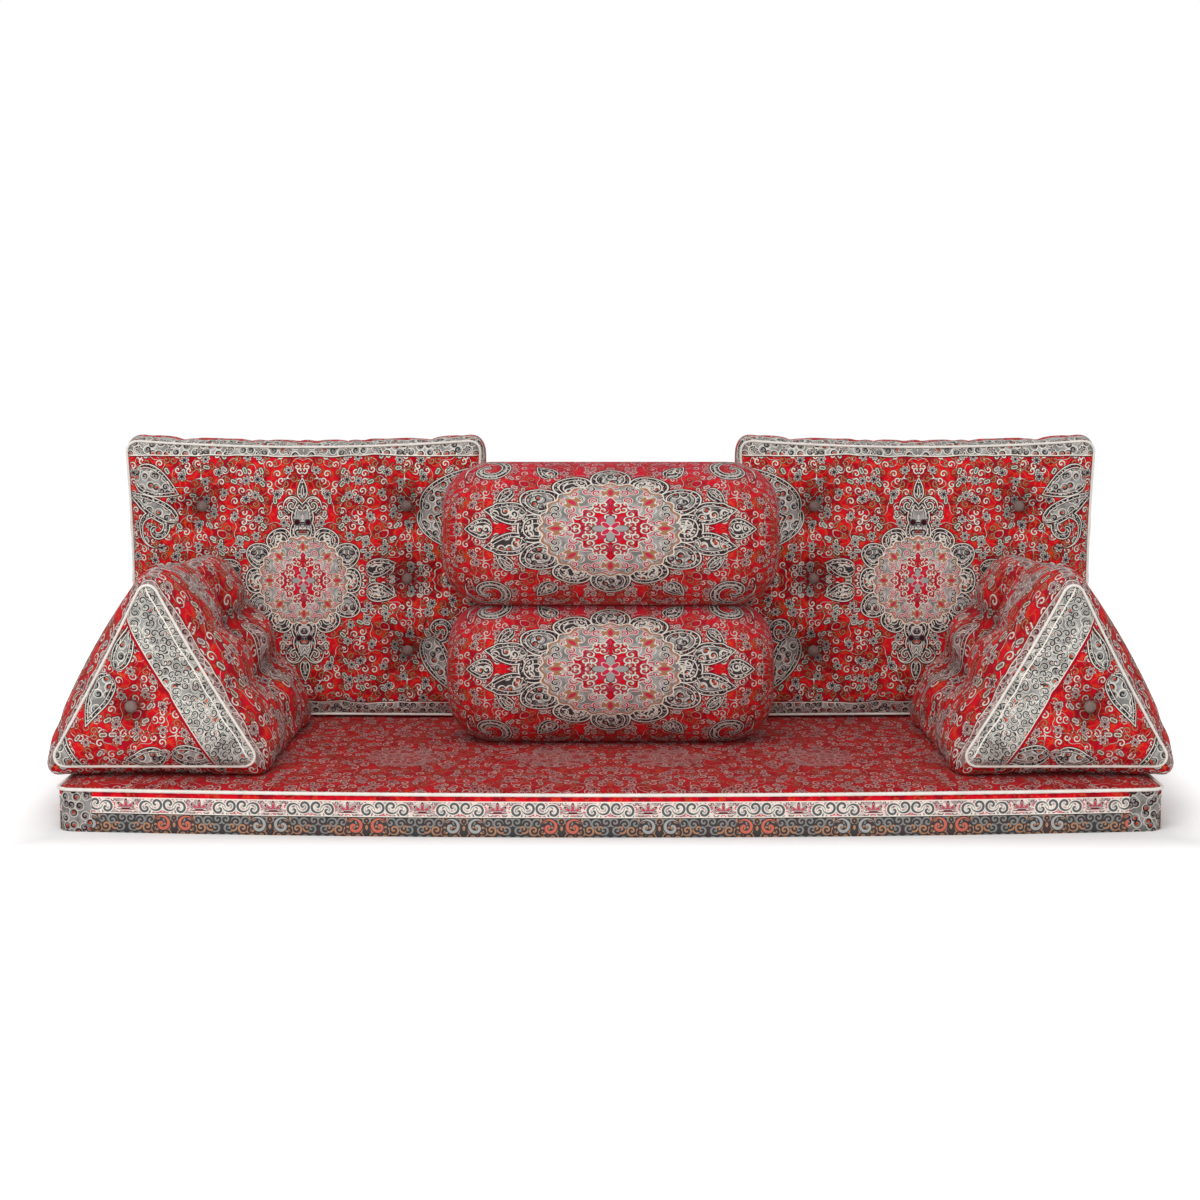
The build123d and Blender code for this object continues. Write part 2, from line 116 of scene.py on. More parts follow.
class Signal:
    """One output socket, whose operators add the Math nodes of an expression."""

    def __init__(self, board: Board, socket: NodeSocket) -> None:
        """Keep the socket and the board that it is on."""
        self.board = board
        self.socket = socket

    def __add__(self, other: Signal | float) -> Signal:
        """Sum of both."""
        return self.board.math("ADD", self, other)

    def __radd__(self, other: float) -> Signal:
        """Sum of both, the number first."""
        return self.board.math("ADD", other, self)

    def __sub__(self, other: Signal | float) -> Signal:
        """Difference of both."""
        return self.board.math("SUBTRACT", self, other)

    def __rsub__(self, other: float) -> Signal:
        """Difference of both, the number first."""
        return self.board.math("SUBTRACT", other, self)

    def __mul__(self, other: Signal | float) -> Signal:
        """Product of both."""
        return self.board.math("MULTIPLY", self, other)

    def __rmul__(self, other: float) -> Signal:
        """Product of both, the number first."""
        return self.board.math("MULTIPLY", other, self)

    def __truediv__(self, other: Signal | float) -> Signal:
        """Quotient of both."""
        return self.board.math("DIVIDE", self, other)

    def __rtruediv__(self, other: float) -> Signal:
        """Quotient of both, the number first."""
        return self.board.math("DIVIDE", other, self)

    def __neg__(self) -> Signal:
        """The value with its sign turned."""
        return self.board.math("MULTIPLY", self, -1.0)

    def __abs__(self) -> Signal:
        """The value without its sign."""
        return self.board.math("ABSOLUTE", self)

    def __pow__(self, power: float) -> Signal:
        """The value raised to a power."""
        return self.board.math("POWER", self, power)

    def fract(self) -> Signal:
        """The part after the decimal point."""
        return self.board.math("FRACT", self)

    def cos(self) -> Signal:
        """Cosine of an angle in turns."""
        return self.board.math("COSINE", self * TURN)

    def sin(self) -> Signal:
        """Sine of an angle in turns."""
        return self.board.math("SINE", self * TURN)

    def least(self, other: Signal | float) -> Signal:
        """The smaller of both."""
        return self.board.math("MINIMUM", self, other)

    def most(self, other: Signal | float) -> Signal:
        """The larger of both."""
        return self.board.math("MAXIMUM", self, other)

    def over(self, limit: float, soft: float = 0.7 * MM) -> Signal:
        """A mask that is 1 above a limit, with a soft edge."""
        return self.board.math("MULTIPLY_ADD", self, 1 / soft, 0.5 - limit / soft, clamped=True)

    def under(self, limit: float, soft: float = 0.7 * MM) -> Signal:
        """A mask that is 1 below a limit, with a soft edge."""
        return self.board.math("MULTIPLY_ADD", self, -1 / soft, 0.5 + limit / soft, clamped=True)

    def within(self, low: float, high: float, soft: float = 0.7 * MM) -> Signal:
        """A mask that is 1 between two limits, with soft edges."""
        return abs(self - (low + high) / 2).under((high - low) / 2, soft)


class Board:
    """A node tree and the two ways that nodes are put on it."""

    def __init__(self, tree: NodeTree) -> None:
        """Start on an empty tree."""
        self.tree = tree
        tree.nodes.clear()

    def node(self, kind: str, settings: dict[str, object] | None = None,
             sockets: dict[str | int, object] | None = None) -> Node:
        """Add a node.

        Args:
            kind: The node's type.
            settings: Its own settings, which are set first.
            sockets: Values or signals for its inputs, by name or number.

        Returns:
            The new node.
        """
        made = self.tree.nodes.new(kind)
        for key, value in (settings or {}).items():
            setattr(made, key, value)
        for key, value in (sockets or {}).items():
            if isinstance(value, Signal):
                self.tree.links.new(value.socket, made.inputs[key])
            else:
                made.inputs[key].default_value = value.value if isinstance(value, Yarn) else value
        return made

    def out(self, kind: str, settings: dict[str, object] | None = None,
            sockets: dict[str | int, object] | None = None, port: str | int = 0) -> Signal:
        """Add a node and return one of its outputs."""
        return Signal(self, self.node(kind, settings, sockets).outputs[port])

    def math(self, operation: str, *values: Signal | float, clamped: bool = False) -> Signal:
        """Add a Math node on the given values."""
        settings = {"operation": operation, "use_clamp": clamped}
        return self.out("ShaderNodeMath", settings, dict(enumerate(values)))

    def vector(self, across: Signal | float, along: Signal | float, up: Signal | float = 0.0) -> Signal:
        """Join three numbers to a vector."""
        return self.out("ShaderNodeCombineXYZ", None, {0: across, 1: along, 2: up})

    def parts(self, vector: Signal) -> tuple[Signal, Signal, Signal]:
        """Split a vector into its three numbers."""
        split = self.node("ShaderNodeSeparateXYZ", None, {0: vector})
        return tuple(Signal(self, split.outputs[index]) for index in range(3))

    def mix(self, below: Signal | Yarn | tuple, above: Signal | Yarn | tuple,
            share: Signal | float) -> Signal:
        """Lay one colour over another by a mask."""
        return self.out("ShaderNodeMix", {"data_type": "RGBA"}, {0: share, 6: below, 7: above}, port=2)

    def scaled(self, colour: Signal, factor: Signal | float) -> Signal:
        """Make a colour lighter or darker."""
        return self.out("ShaderNodeVectorMath", {"operation": "SCALE"}, {0: colour, "Scale": factor})

    def seen(self) -> Signal:
        """Mask of the rays that the camera sends, straight or by way of a mirror or glass.

        Returns:
            1 for such a ray and 0 for any other.
        """
        kinds = ("Camera", "Glossy", "Transmission")
        rays = [self.out("ShaderNodeLightPath", port=f"Is {kind} Ray") for kind in kinds]
        return rays[0].most(rays[1]).most(rays[2])

    def noise(self, vector: Signal, scale: float, detail: float = 2.0) -> Signal:
        """Soft noise from 0 to 1."""
        settings = {"noise_dimensions": "2D"}
        return self.out("ShaderNodeTexNoise", settings, {"Vector": vector, "Scale": scale, "Detail": detail})


@dataclass(frozen=True)
class Mark:
    """A cell of a scattered motif: where a point lies in it, and the cell's own random numbers."""

    across: Signal
    along: Signal
    radius: Signal
    turn: Signal
    chance: tuple[Signal, Signal, Signal]


class Weaver(Board):
    """Draws the cloth's motifs on a piece's cloth map, whose unit is a metre."""

    def __init__(self, tree: NodeTree) -> None:
        """Read the cloth map as two signals.

        Args:
            tree: The material's node tree.
        """
        super().__init__(tree)
        place = self.out("ShaderNodeUVMap", {"uv_map": CLOTH_MAP})
        self.u, self.v, _ = self.parts(place)

    def polar(self, across: Signal, along: Signal) -> tuple[Signal, Signal]:
        """Radius and angle, in turns, of a point."""
        radius = self.math("SQRT", self.math("MULTIPLY_ADD", across, across, along * along))
        return radius, self.math("ARCTAN2", along, across) * (1 / TURN)

    def marks(self, u: Signal, v: Signal, pitch: float, shift: float, jitter: float = 0.85) -> Mark:
        """Scatter cells over the cloth.

        Args:
            u: Place across the cloth.
            v: Place along the cloth.
            pitch: Usual distance between two cells.
            shift: Offset that gives another scatter.
            jitter: How far the cells leave their grid, from 0 to 1.

        Returns:
            The cell's own coordinates and random numbers.
        """
        moved = self.vector(u + shift, v + shift)
        cell = self.node("ShaderNodeTexVoronoi", {"voronoi_dimensions": "2D", "feature": "F1"},
                         {"Vector": moved, "Scale": 1 / pitch, "Randomness": jitter})
        centre = Signal(self, cell.outputs["Position"])
        across, along, _ = self.parts(self.out("ShaderNodeVectorMath", {"operation": "SUBTRACT"},
                                               {0: moved, 1: centre}))
        radius, turn = self.polar(across, along)
        chance = self.parts(Signal(self, cell.outputs["Color"]))
        return Mark(across, along, radius, turn, chance)

    def curl(self, mark: Mark, pitch: float, width: float, reach: float) -> Signal:
        """Depth inside the line of a small spiral in each cell, in metres."""
        phase = (mark.turn + mark.radius * (1 / pitch) + mark.chance[1]).fract()
        return (width / 2 - abs(phase - 0.5) * pitch).least(reach - mark.radius)

    def bloom(self, mark: Mark, radius: float, petals: int) -> Signal:
        """Depth inside a small flower in each cell, in metres."""
        wave = (mark.turn * petals + mark.chance[1]).cos()
        return (0.78 + 0.22 * wave) * radius - mark.radius

    def boteh(self, u: Signal, v: Signal, at: tuple[float, float], turn: float, length: float,
              width: float, bend: float) -> Signal:
        """Depth inside a paisley drop with a bent tip.

        Args:
            u: Place across the cloth.
            v: Place along the cloth.
            at: Middle of the drop's round foot.
            turn: Direction of the tip, in degrees from across.
            length: Length from foot to tip.
            width: Widest half width.
            bend: How far the tip bends to the left of its direction.

        Returns:
            Depth in metres, negative outside.
        """
        cosine, sine = math.cos(math.radians(turn)), math.sin(math.radians(turn))
        du, dv = u - at[0], v - at[1]
        along = (du * cosine + dv * sine) * (1 / length)
        side = dv * cosine - du * sine
        share = self.math("MAXIMUM", along, 0.0, clamped=True)
        half = (share ** 0.5) * (1 - share) * (width * 2.6)
        ends = along.most(1 - along) - 1
        return half - abs(side - share * share * bend) - ends.most(0.0) * length

    def hook(self, u: Signal, v: Signal, at: tuple[float, float], size: float, start: float = 0.0) -> Signal:
        """Depth inside a curled band that winds once round a point.

        Args:
            u: Place across the cloth.
            v: Place along the cloth.
            at: Middle of the curl.
            size: Distance between its turns.
            start: Where its line starts, in turns.

        Returns:
            Depth in metres, negative outside.
        """
        radius, turn = self.polar(u - at[0], v - at[1])
        phase = (turn + radius * (1 / size) + start).fract()
        return (size * 0.20 - abs(phase - 0.5) * size).least(size * 1.15 - radius)

    def lobes(self, radius: Signal, turn: Signal, count: int, ring: Signal | float,
              size: Signal | float) -> tuple[Signal, Signal]:
        """Depth inside a ring of round lobes, and the angle inside the nearest one.

        Args:
            radius: Distance from the ring's middle.
            turn: Angle round it, in turns.
            count: Number of lobes.
            ring: Radius of the ring.
            size: Radius of a lobe.

        Returns:
            The depth in metres and the angle in turns.
        """
        local = ((turn * count + 0.5).fract() - 0.5) * (TURN / count)
        across = radius * self.math("COSINE", local) - ring
        along = radius * self.math("SINE", local)
        reach, angle = self.polar(across, along)
        return size - reach, angle

    def lined(self, below: Signal, depth: Signal, fill: Signal | Yarn, rim: Yarn, edge: float) -> Signal:
        """Lay a motif with a rim of the given width round it."""
        return self.mix(self.mix(below, rim, depth.over(-edge)), fill, depth.over(0))

    def ground(self, u: Signal, v: Signal) -> Signal:
        """The red ground, clouded with crimson and flecked with orange.

        Args:
            u: Place across the cloth.
            v: Place along the cloth.

        Returns:
            The cloth's colour.
        """
        place = self.vector(u, v)
        colour = self.mix(Yarn.SCARLET, Yarn.CRIMSON, self.noise(place, 30, 1).over(0.52, 0.10))
        return self.mix(colour, Yarn.ORANGE, self.noise(place, 115, 1).over(0.62, 0.05) * 0.6)

    def field(self, u: Signal, v: Signal) -> Signal:
        """The red field with its vines, curls, leaves and small flowers.

        Args:
            u: Place across the cloth.
            v: Place along the cloth.

        Returns:
            The cloth's colour.
        """
        colour = self.ground(u, v)
        vine = abs(self.noise(self.vector(u + 0.37, v), 36, 0) - 0.5)
        colour = self.mix(colour, Yarn.MAROON, vine.under(0.030, 0.02) * 0.85)
        colour = self.mix(colour, Yarn.CREAM, vine.under(0.010, 0.010))
        tendril = abs(self.noise(self.vector(u, v + 0.71), 48, 0) - 0.5)
        colour = self.mix(colour, Yarn.ORANGE, tendril.under(0.026, 0.02))
        small = self.marks(u, v, 18 * MM, 0.23)
        curl = self.curl(small, 6.4 * MM, 2.2 * MM, 7.4 * MM)
        yarn = self.mix(Yarn.CREAM, Yarn.TAN, small.chance[0].over(0.60, 0.01))
        colour = self.lined(colour, curl, yarn, Yarn.MAROON, 0.9 * MM)
        leaf = self.marks(u, v, 27 * MM, 0.91)
        depth = self.bloom(leaf, 7.2 * MM, 2) - leaf.chance[1].under(0.50, 0.01) * 0.02
        green = self.mix(Yarn.SILVER, Yarn.GREEN, leaf.chance[0].over(0.5, 0.01))
        colour = self.lined(colour, depth, green, Yarn.CHARCOAL, 1.2 * MM)
        colour = self.mix(colour, Yarn.CREAM, depth.within(1.0 * MM, 2.4 * MM))
        large = self.marks(u, v, 42 * MM, 0.61, 0.7)
        depth = self.bloom(large, 9.0 * MM, 6)
        colour = self.lined(colour, depth, Yarn.CREAM, Yarn.MAROON, 1.3 * MM)
        colour = self.mix(colour, Yarn.SLATE, depth.over(1.4 * MM))
        colour = self.mix(colour, Yarn.PALE, depth.over(3.6 * MM) * large.chance[2].over(0.4, 0.01))
        return self.mix(colour, Yarn.MAROON, large.radius.under(2.3 * MM))

    def filigree(self, u: Signal, v: Signal, darkness: Signal | float = 0.0) -> Signal:
        """Silver ground crowded with small scrolls; where it is dark, the scrolls are cream.

        Args:
            u: Place across the cloth.
            v: Place along the cloth.
            darkness: Where its ground is dark, from 0 to 1.

        Returns:
            The cloth's colour.
        """
        place = self.vector(u, v)
        colour = self.mix(Yarn.SILVER, Yarn.PALE, self.noise(place, 60).over(0.5, 0.2))
        colour = self.mix(colour, Yarn.CHARCOAL, darkness)
        scroll = self.marks(u, v, 15.5 * MM, 1.31)
        depth = self.curl(scroll, 6.6 * MM, 2.9 * MM, 7.2 * MM)
        ink = self.mix(Yarn.CHARCOAL, Yarn.MAROON, scroll.chance[0].over(0.66, 0.01))
        ink = self.mix(ink, Yarn.CREAM, darkness)
        colour = self.mix(colour, ink, depth.over(0))
        colour = self.mix(colour, Yarn.CREAM, scroll.radius.within(6.6 * MM, 8.2 * MM) * 0.9)
        bud = scroll.radius.under(2.4 * MM) * scroll.chance[2].over(0.6, 0.01)
        return self.mix(colour, Yarn.ORANGE, bud)

    def edged(self, below: Signal, inside: Signal, depth: Signal) -> Signal:
        """Lay a motif on the cloth with its dark and cream outlines and a band of lace.

        Args:
            below: Colour of the cloth around it.
            inside: Colour of the motif's own ground.
            depth: Depth inside the motif, in metres.

        Returns:
            The colour of both together.
        """
        colour = self.lined(below, depth + 1.0 * MM, Yarn.CREAM, Yarn.MAROON, 1.8 * MM)
        colour = self.lined(colour, depth - 2.2 * MM, inside, Yarn.CHARCOAL, 1.4 * MM)
        grit = self.noise(self.vector(self.u, self.v), 250, 0).over(0.5, 0.08)
        colour = self.mix(colour, Yarn.CHARCOAL, depth.within(2.2 * MM, 6.0 * MM) * grit)
        colour = self.mix(colour, Yarn.CREAM, depth.within(6.0 * MM, 7.4 * MM))
        return self.mix(colour, Yarn.MAROON, depth.within(7.4 * MM, 8.8 * MM))

    def heart(self, below: Signal, across: Signal, along: Signal, size: float) -> Signal:
        """The medallion's inside: a tan line, a silver ground of sprigs, and a red rosette in the middle.

        Args:
            below: Colour of the cloth around it.
            across: Place across from its middle.
            along: Place along from its middle.
            size: Radius of its rim.

        Returns:
            The colour of both together.
        """
        radius, turn = self.polar(across, along)
        fold_across, fold_along = abs(across) + 0.5, abs(along) + 0.5
        soft = self.noise(self.vector(across, along), 50, 2)
        silver = self.mix(Yarn.SILVER, Yarn.PALE, soft.over(0.5, 0.12))
        sprig = self.marks(fold_across, fold_along, 15 * MM, 0.40)
        curl = self.curl(sprig, 6.4 * MM, 2.4 * MM, 7 * MM)
        yarn = self.mix(Yarn.ROSE, Yarn.CHARCOAL, sprig.chance[0].over(0.5, 0.01))
        silver = self.lined(silver, curl, yarn, Yarn.CREAM, 0.9 * MM)
        bud, _ = self.lobes(radius, turn, 8, size * 0.80, size * 0.11)
        petals = bud + (turn * 40).cos() * (size * 0.03)
        silver = self.lined(silver, petals, Yarn.TAN, Yarn.CREAM, 1.3 * MM)
        silver = self.mix(silver, Yarn.ROSE, petals.over(size * 0.06))
        rim = size + (turn * 24).cos() * (size * 0.03) - radius
        colour = self.mix(below, silver, rim.over(0))
        colour = self.mix(colour, Yarn.TAN, rim.within(-2.2 * MM, 1.2 * MM) * soft.over(0.42, 0.1))
        colour = self.mix(colour, Yarn.CREAM, rim.within(-4.0 * MM, -2.2 * MM))
        sharp = (abs(across) + abs(along)) * 0.46 + radius * 0.42
        core = size * 0.56 + (turn * 16).cos() * (size * 0.035) - sharp
        inner = self.mix(Yarn.SCARLET, Yarn.ROSE, soft.over(0.5, 0.1))
        petal = self.marks(fold_across, fold_along, 12 * MM, 0.77)
        curl = self.curl(petal, 5.6 * MM, 2.2 * MM, 6.4 * MM)
        inner = self.lined(inner, curl, Yarn.CREAM, Yarn.MAROON, 0.8 * MM)
        inner = self.mix(inner, Yarn.TAN, petal.radius.under(1.5 * MM))
        colour = self.lined(colour, core, inner, Yarn.CREAM, 1.8 * MM)
        rose = (0.62 + 0.38 * (turn * 4).cos()) * (size * 0.27) - radius
        colour = self.lined(colour, rose, Yarn.PALE, Yarn.CHARCOAL, 1.6 * MM)
        dark = (0.62 - 0.38 * (turn * 4).cos()) * (size * 0.17) - radius
        colour = self.lined(colour, dark, Yarn.ROSE, Yarn.CREAM, 1.2 * MM)
        return self.mix(colour, Yarn.CREAM, radius.under(size * 0.035))

    def medallion(self, below: Signal, u: Signal, v: Signal, size: float, stretch: float,
                  extra: Signal) -> Signal:
        """A scalloped medallion with its ring of light and dark scrolled lobes.

        Args:
            below: Colour of the cloth around it.
            u: Place across the cloth from its middle.
            v: Place along the cloth from its middle.
            size: Radius of its inner ring.
            stretch: How many times wider than high it is.
            extra: Depth of motifs that join its outline.

        Returns:
            The colour of both together.
        """
        across = u * (1 / stretch)
        radius, turn = self.polar(across, v)
        wave = (turn * 6).cos()
        depth, angle = self.lobes(radius, turn, 12, size * 1.14 - wave * (size * 0.07), size * 0.29)
        whole = depth.most(size * 1.08 - radius).most(extra)
        dark = wave.over(0, 0.1) * 0.9
        inside = self.filigree(u, v, dark)
        spiral = 0.8 * MM - abs((angle + depth * (1 / (9 * MM))).fract() - 0.5) * 9 * MM
        ink = self.mix(Yarn.CHARCOAL, Yarn.CREAM, dark)
        inside = self.mix(inside, ink, spiral.over(0) * depth.over(7 * MM))
        colour = self.edged(below, inside, whole)
        return self.heart(colour, across, v, size)

    def border(self, below: Signal, u: Signal, depth: Signal, width: float) -> Signal:
        """A strip of silver scrolls and small dark palmettes between cream lines.

        Args:
            below: Colour of the cloth around it.
            u: Place along the strip.
            depth: Distance inside the edge.
            width: Width of the strip.

        Returns:
            The colour of both together.
        """
        strip = self.filigree(abs(u), depth)
        local = ((u * (1 / (58 * MM))).fract() - 0.5) * (58 * MM)
        radius, turn = self.polar(local, depth - width / 2)
        palm = (0.72 + 0.28 * (turn * 4).cos()) * (width * 0.34) - radius
        strip = self.lined(strip, palm, Yarn.MAROON, Yarn.CREAM, 1.3 * MM)
        strip = self.mix(strip, Yarn.PALE, palm.over(2.6 * MM))
        colour = self.mix(below, strip, depth.under(width))
        edge = width + 1.4 * MM
        colour = self.mix(colour, Yarn.MAROON, depth.within(edge, edge + 2 * MM))
        return self.mix(colour, Yarn.CREAM, depth.within(width - 0.6 * MM, edge))


@dataclass(frozen=True)
class Weave:
    """How a cloth takes the light, with the drawing of its pattern."""

    name: str
    draw: Callable[[Weaver], Signal]
    roughness: float = 0.86
    sheen: float = 0.02

    def material(self) -> Material:
        """Make the cloth's material: its pattern, thread shading, painted shade in sunk places, and twill.

        Returns:
            The material.
        """
        made = bpy.data.materials.new(self.name)
        made.use_nodes = True
        cloth = Weaver(made.node_tree)
        colour = self.draw(cloth)
        threads = cloth.noise(cloth.vector(cloth.u * 3, cloth.v), 900, 1)
        worn = cloth.noise(cloth.vector(cloth.u, cloth.v), 7, 3)
        # Painted shade: the cloth is darkened by up to 68 percent where the cover's per-point shade marks
        # tuft dimples, their folds and the wedges' furrows.
        nook = cloth.out("ShaderNodeAttribute", {"attribute_name": PAINTED_SHADE_ATTRIBUTE}, port="Fac")
        colour = cloth.scaled(colour, (threads * 0.22 + worn * 0.30 + 0.72) * (1 - nook * 0.68))
        twill = ((cloth.u + cloth.v) * (1 / (1.8 * MM))).cos() * 0.5 + threads * 0.8
        bump = cloth.out("ShaderNodeBump", None, {"Strength": 0.35, "Distance": 0.4 * MM, "Height": twill})
        rough = worn * 0.12 + (self.roughness - 0.06)
        shader = cloth.node("ShaderNodeBsdfPrincipled", None, {
            "Base Color": colour, "Roughness": rough, "Normal": bump,
            "Sheen Weight": self.sheen, "Sheen Roughness": 0.5, "Specular IOR Level": 0.12})
        cloth.node("ShaderNodeOutputMaterial", None, {"Surface": Signal(cloth, shader.outputs[0])})
        return made


@dataclass(frozen=True)
class Trim:
    """A plain trim: piping, button cloth, twine or a zip's parts, on Object coordinates."""

    name: str
    light: tuple[float, float, float, float]
    dark: tuple[float, float, float, float]
    grain: float
    roughness: float
    metallic: float = 0.0

    def material(self) -> Material:
        """Make the trim's material with its fine grain.

        Returns:
            The material.
        """
        made = bpy.data.materials.new(self.name)
        made.use_nodes = True
        board = Board(made.node_tree)
        place = board.out("ShaderNodeTexCoord", port="Object")
        grain = board.out("ShaderNodeTexNoise", None,
                          {"Vector": place, "Scale": 1 / self.grain, "Detail": 3.0})
        wear = board.out("ShaderNodeTexNoise", None, {"Vector": place, "Scale": 30.0, "Detail": 2.0})
        colour = board.mix(self.dark, self.light, (grain * 0.7 + wear * 0.5).over(0.5, 0.5))
        bump = board.out("ShaderNodeBump", None,
                         {"Strength": 0.4, "Distance": self.grain / 4, "Height": grain})
        shader = board.node("ShaderNodeBsdfPrincipled", None, {
            "Base Color": colour, "Roughness": wear * 0.2 + (self.roughness - 0.1), "Normal": bump,
            "Metallic": self.metallic})
        board.node("ShaderNodeOutputMaterial", None, {"Surface": Signal(board, shader.outputs[0])})
        return made


def back_face(cloth: Weaver) -> Signal:
    """Front of a back cushion: round medallion, side botehs and a strip along top and foot.

    Args:
        cloth: The weaver of its material.

    Returns:
        The cloth's colour.
    """
    u, v = cloth.u, cloth.v
    side, rise = abs(u), abs(v)
    colour = cloth.field(side, rise)
    outer = cloth.boteh(-u, v, (0.330, 0.205), 196, 0.094, 0.029, 0.012)
    sweep = cloth.boteh(-u, v, (0.247, 0.112), 38, 0.118, 0.019, -0.018)
    curl = cloth.hook(-u, v, (0.287, 0.100), 31 * MM, 0.35)
    inner = cloth.boteh(u, v, (0.236, 0.126), 52, 0.140, 0.030, -0.024)
    tail = cloth.boteh(u, v, (0.232, 0.140), 292, 0.090, 0.020, 0.018)
    low = cloth.boteh(u, v, (0.240, -0.112), 286, 0.120, 0.026, 0.020)
    crest = cloth.hook(u, v, (0.262, -0.098), 24 * MM, 0.60)
    pair = cloth.boteh(side, rise, (0.122, 0.020), 8, 0.058, 0.017, 0.004)
    curls = cloth.hook(side, rise, (0.160, 0.024), 13 * MM, 0.25)
    horn = cloth.hook(side, rise, (0.020, 0.146), 14 * MM, 0.10)
    stem = cloth.boteh(side, rise, (0.002, 0.104), 84, 0.052, 0.017, 0.0)
    top = cloth.boteh(side, rise, (0.0, 0.158), 90, 0.040, 0.009, 0.0)
    botehs = outer.most(sweep.most(curl)).most(inner.most(tail)).most(low.most(crest))
    colour = cloth.edged(colour, cloth.filigree(u, v), botehs)
    extra = pair.most(curls).most(horn.most(stem).most(top))
    colour = cloth.medallion(colour, side, v, 82 * MM, 1.0, extra)
    roundel, _ = cloth.polar(side - 0.0105, rise - 0.113)
    colour = cloth.lined(colour, 5.2 * MM - roundel, Yarn.MAROON, Yarn.SLATE, 2.0 * MM)
    return cloth.border(colour, u, 0.264 - rise, 21 * MM)


def plain_field(cloth: Weaver) -> Signal:
    """Rear and side cloth: the field with its scattered flowers."""
    return cloth.field(cloth.u, cloth.v)


def band_field(cloth: Weaver) -> Signal:
    """A cushion's band: the field with a silver strip beside the front seam."""
    field_colour = cloth.mix(cloth.field(cloth.u, cloth.v), Yarn.ROSE, 0.25)
    return cloth.border(field_colour, cloth.u, cloth.v - 2 * MM, 26 * MM)


def bolster_face(cloth: Weaver) -> Signal:
    """A bolster's cloth: a long lobed medallion with a pendant at each end and scrolls at its corners, and a
    rose highlight painted along its top.

    Args:
        cloth: The weaver of its material.

    Returns:
        The cloth's colour.
    """
    u, v = cloth.u, cloth.v
    side, rise = abs(u), abs(v)
    colour = cloth.field(side, rise)
    colour = cloth.mix(colour, Yarn.SCARLET, 0.16)
    # Painted highlight: the upper front and top of the bolster are tinted rose, as if lit from above.
    colour = cloth.mix(colour, Yarn.ROSE, v.within(0.10, 0.24, 0.10) * 0.40)
    leaf = cloth.boteh(side, rise, (0.150, 0.026), 4, 0.078, 0.020, 0.003)
    curl = cloth.hook(side, rise, (0.198, 0.030), 15 * MM, 0.25)
    tip = cloth.boteh(side, rise, (0.212, 0.0), 0, 0.052, 0.018, 0.0)
    corner = cloth.hook(side, rise, (0.222, 0.134), 38 * MM, 0.15)
    small = cloth.boteh(side, rise, (0.175, 0.074), 328, 0.044, 0.011, -0.010)
    flank = cloth.boteh(side, rise, (0.104, 0.105), 62, 0.046, 0.016, -0.008)
    colour = cloth.edged(colour, cloth.filigree(u, v), corner.most(small))
    colour = cloth.medallion(colour, u, v, 86 * MM, 1.42, leaf.most(tip).most(curl).most(flank))
    return cloth.mix(colour, Yarn.MAROON, 0.18)


def seat_face(cloth: Weaver) -> Signal:
    """Top of the mattress: darker field with a row of grey medallions.

    Args:
        cloth: The weaver of its material.

    Returns:
        The cloth's colour.
    """
    side = abs(cloth.u)
    place = (((side - 0.10) * (1 / 0.27) + 0.5).fract() - 0.5) * 0.27
    colour = cloth.field(side * 0.85, cloth.v * 0.52)
    radius, turn = cloth.polar(place, (cloth.v + 0.14) * 0.8)
    depth, _ = cloth.lobes(radius, turn, 12, 56 * MM, 17 * MM)
    depth = depth.most(58 * MM - radius)
    silver = cloth.filigree(side * 0.85, cloth.v * 0.52, radius.under(30 * MM) * 0.5)
    colour = cloth.mix(colour, cloth.mix(silver, colour, 0.35), depth.over(0))
    colour = cloth.mix(colour, Yarn.CHARCOAL, depth.within(-2 * MM, 0) * 0.7)
    colour = cloth.mix(colour, Yarn.SCARLET, 0.40)
    return cloth.scaled(colour, 0.66)


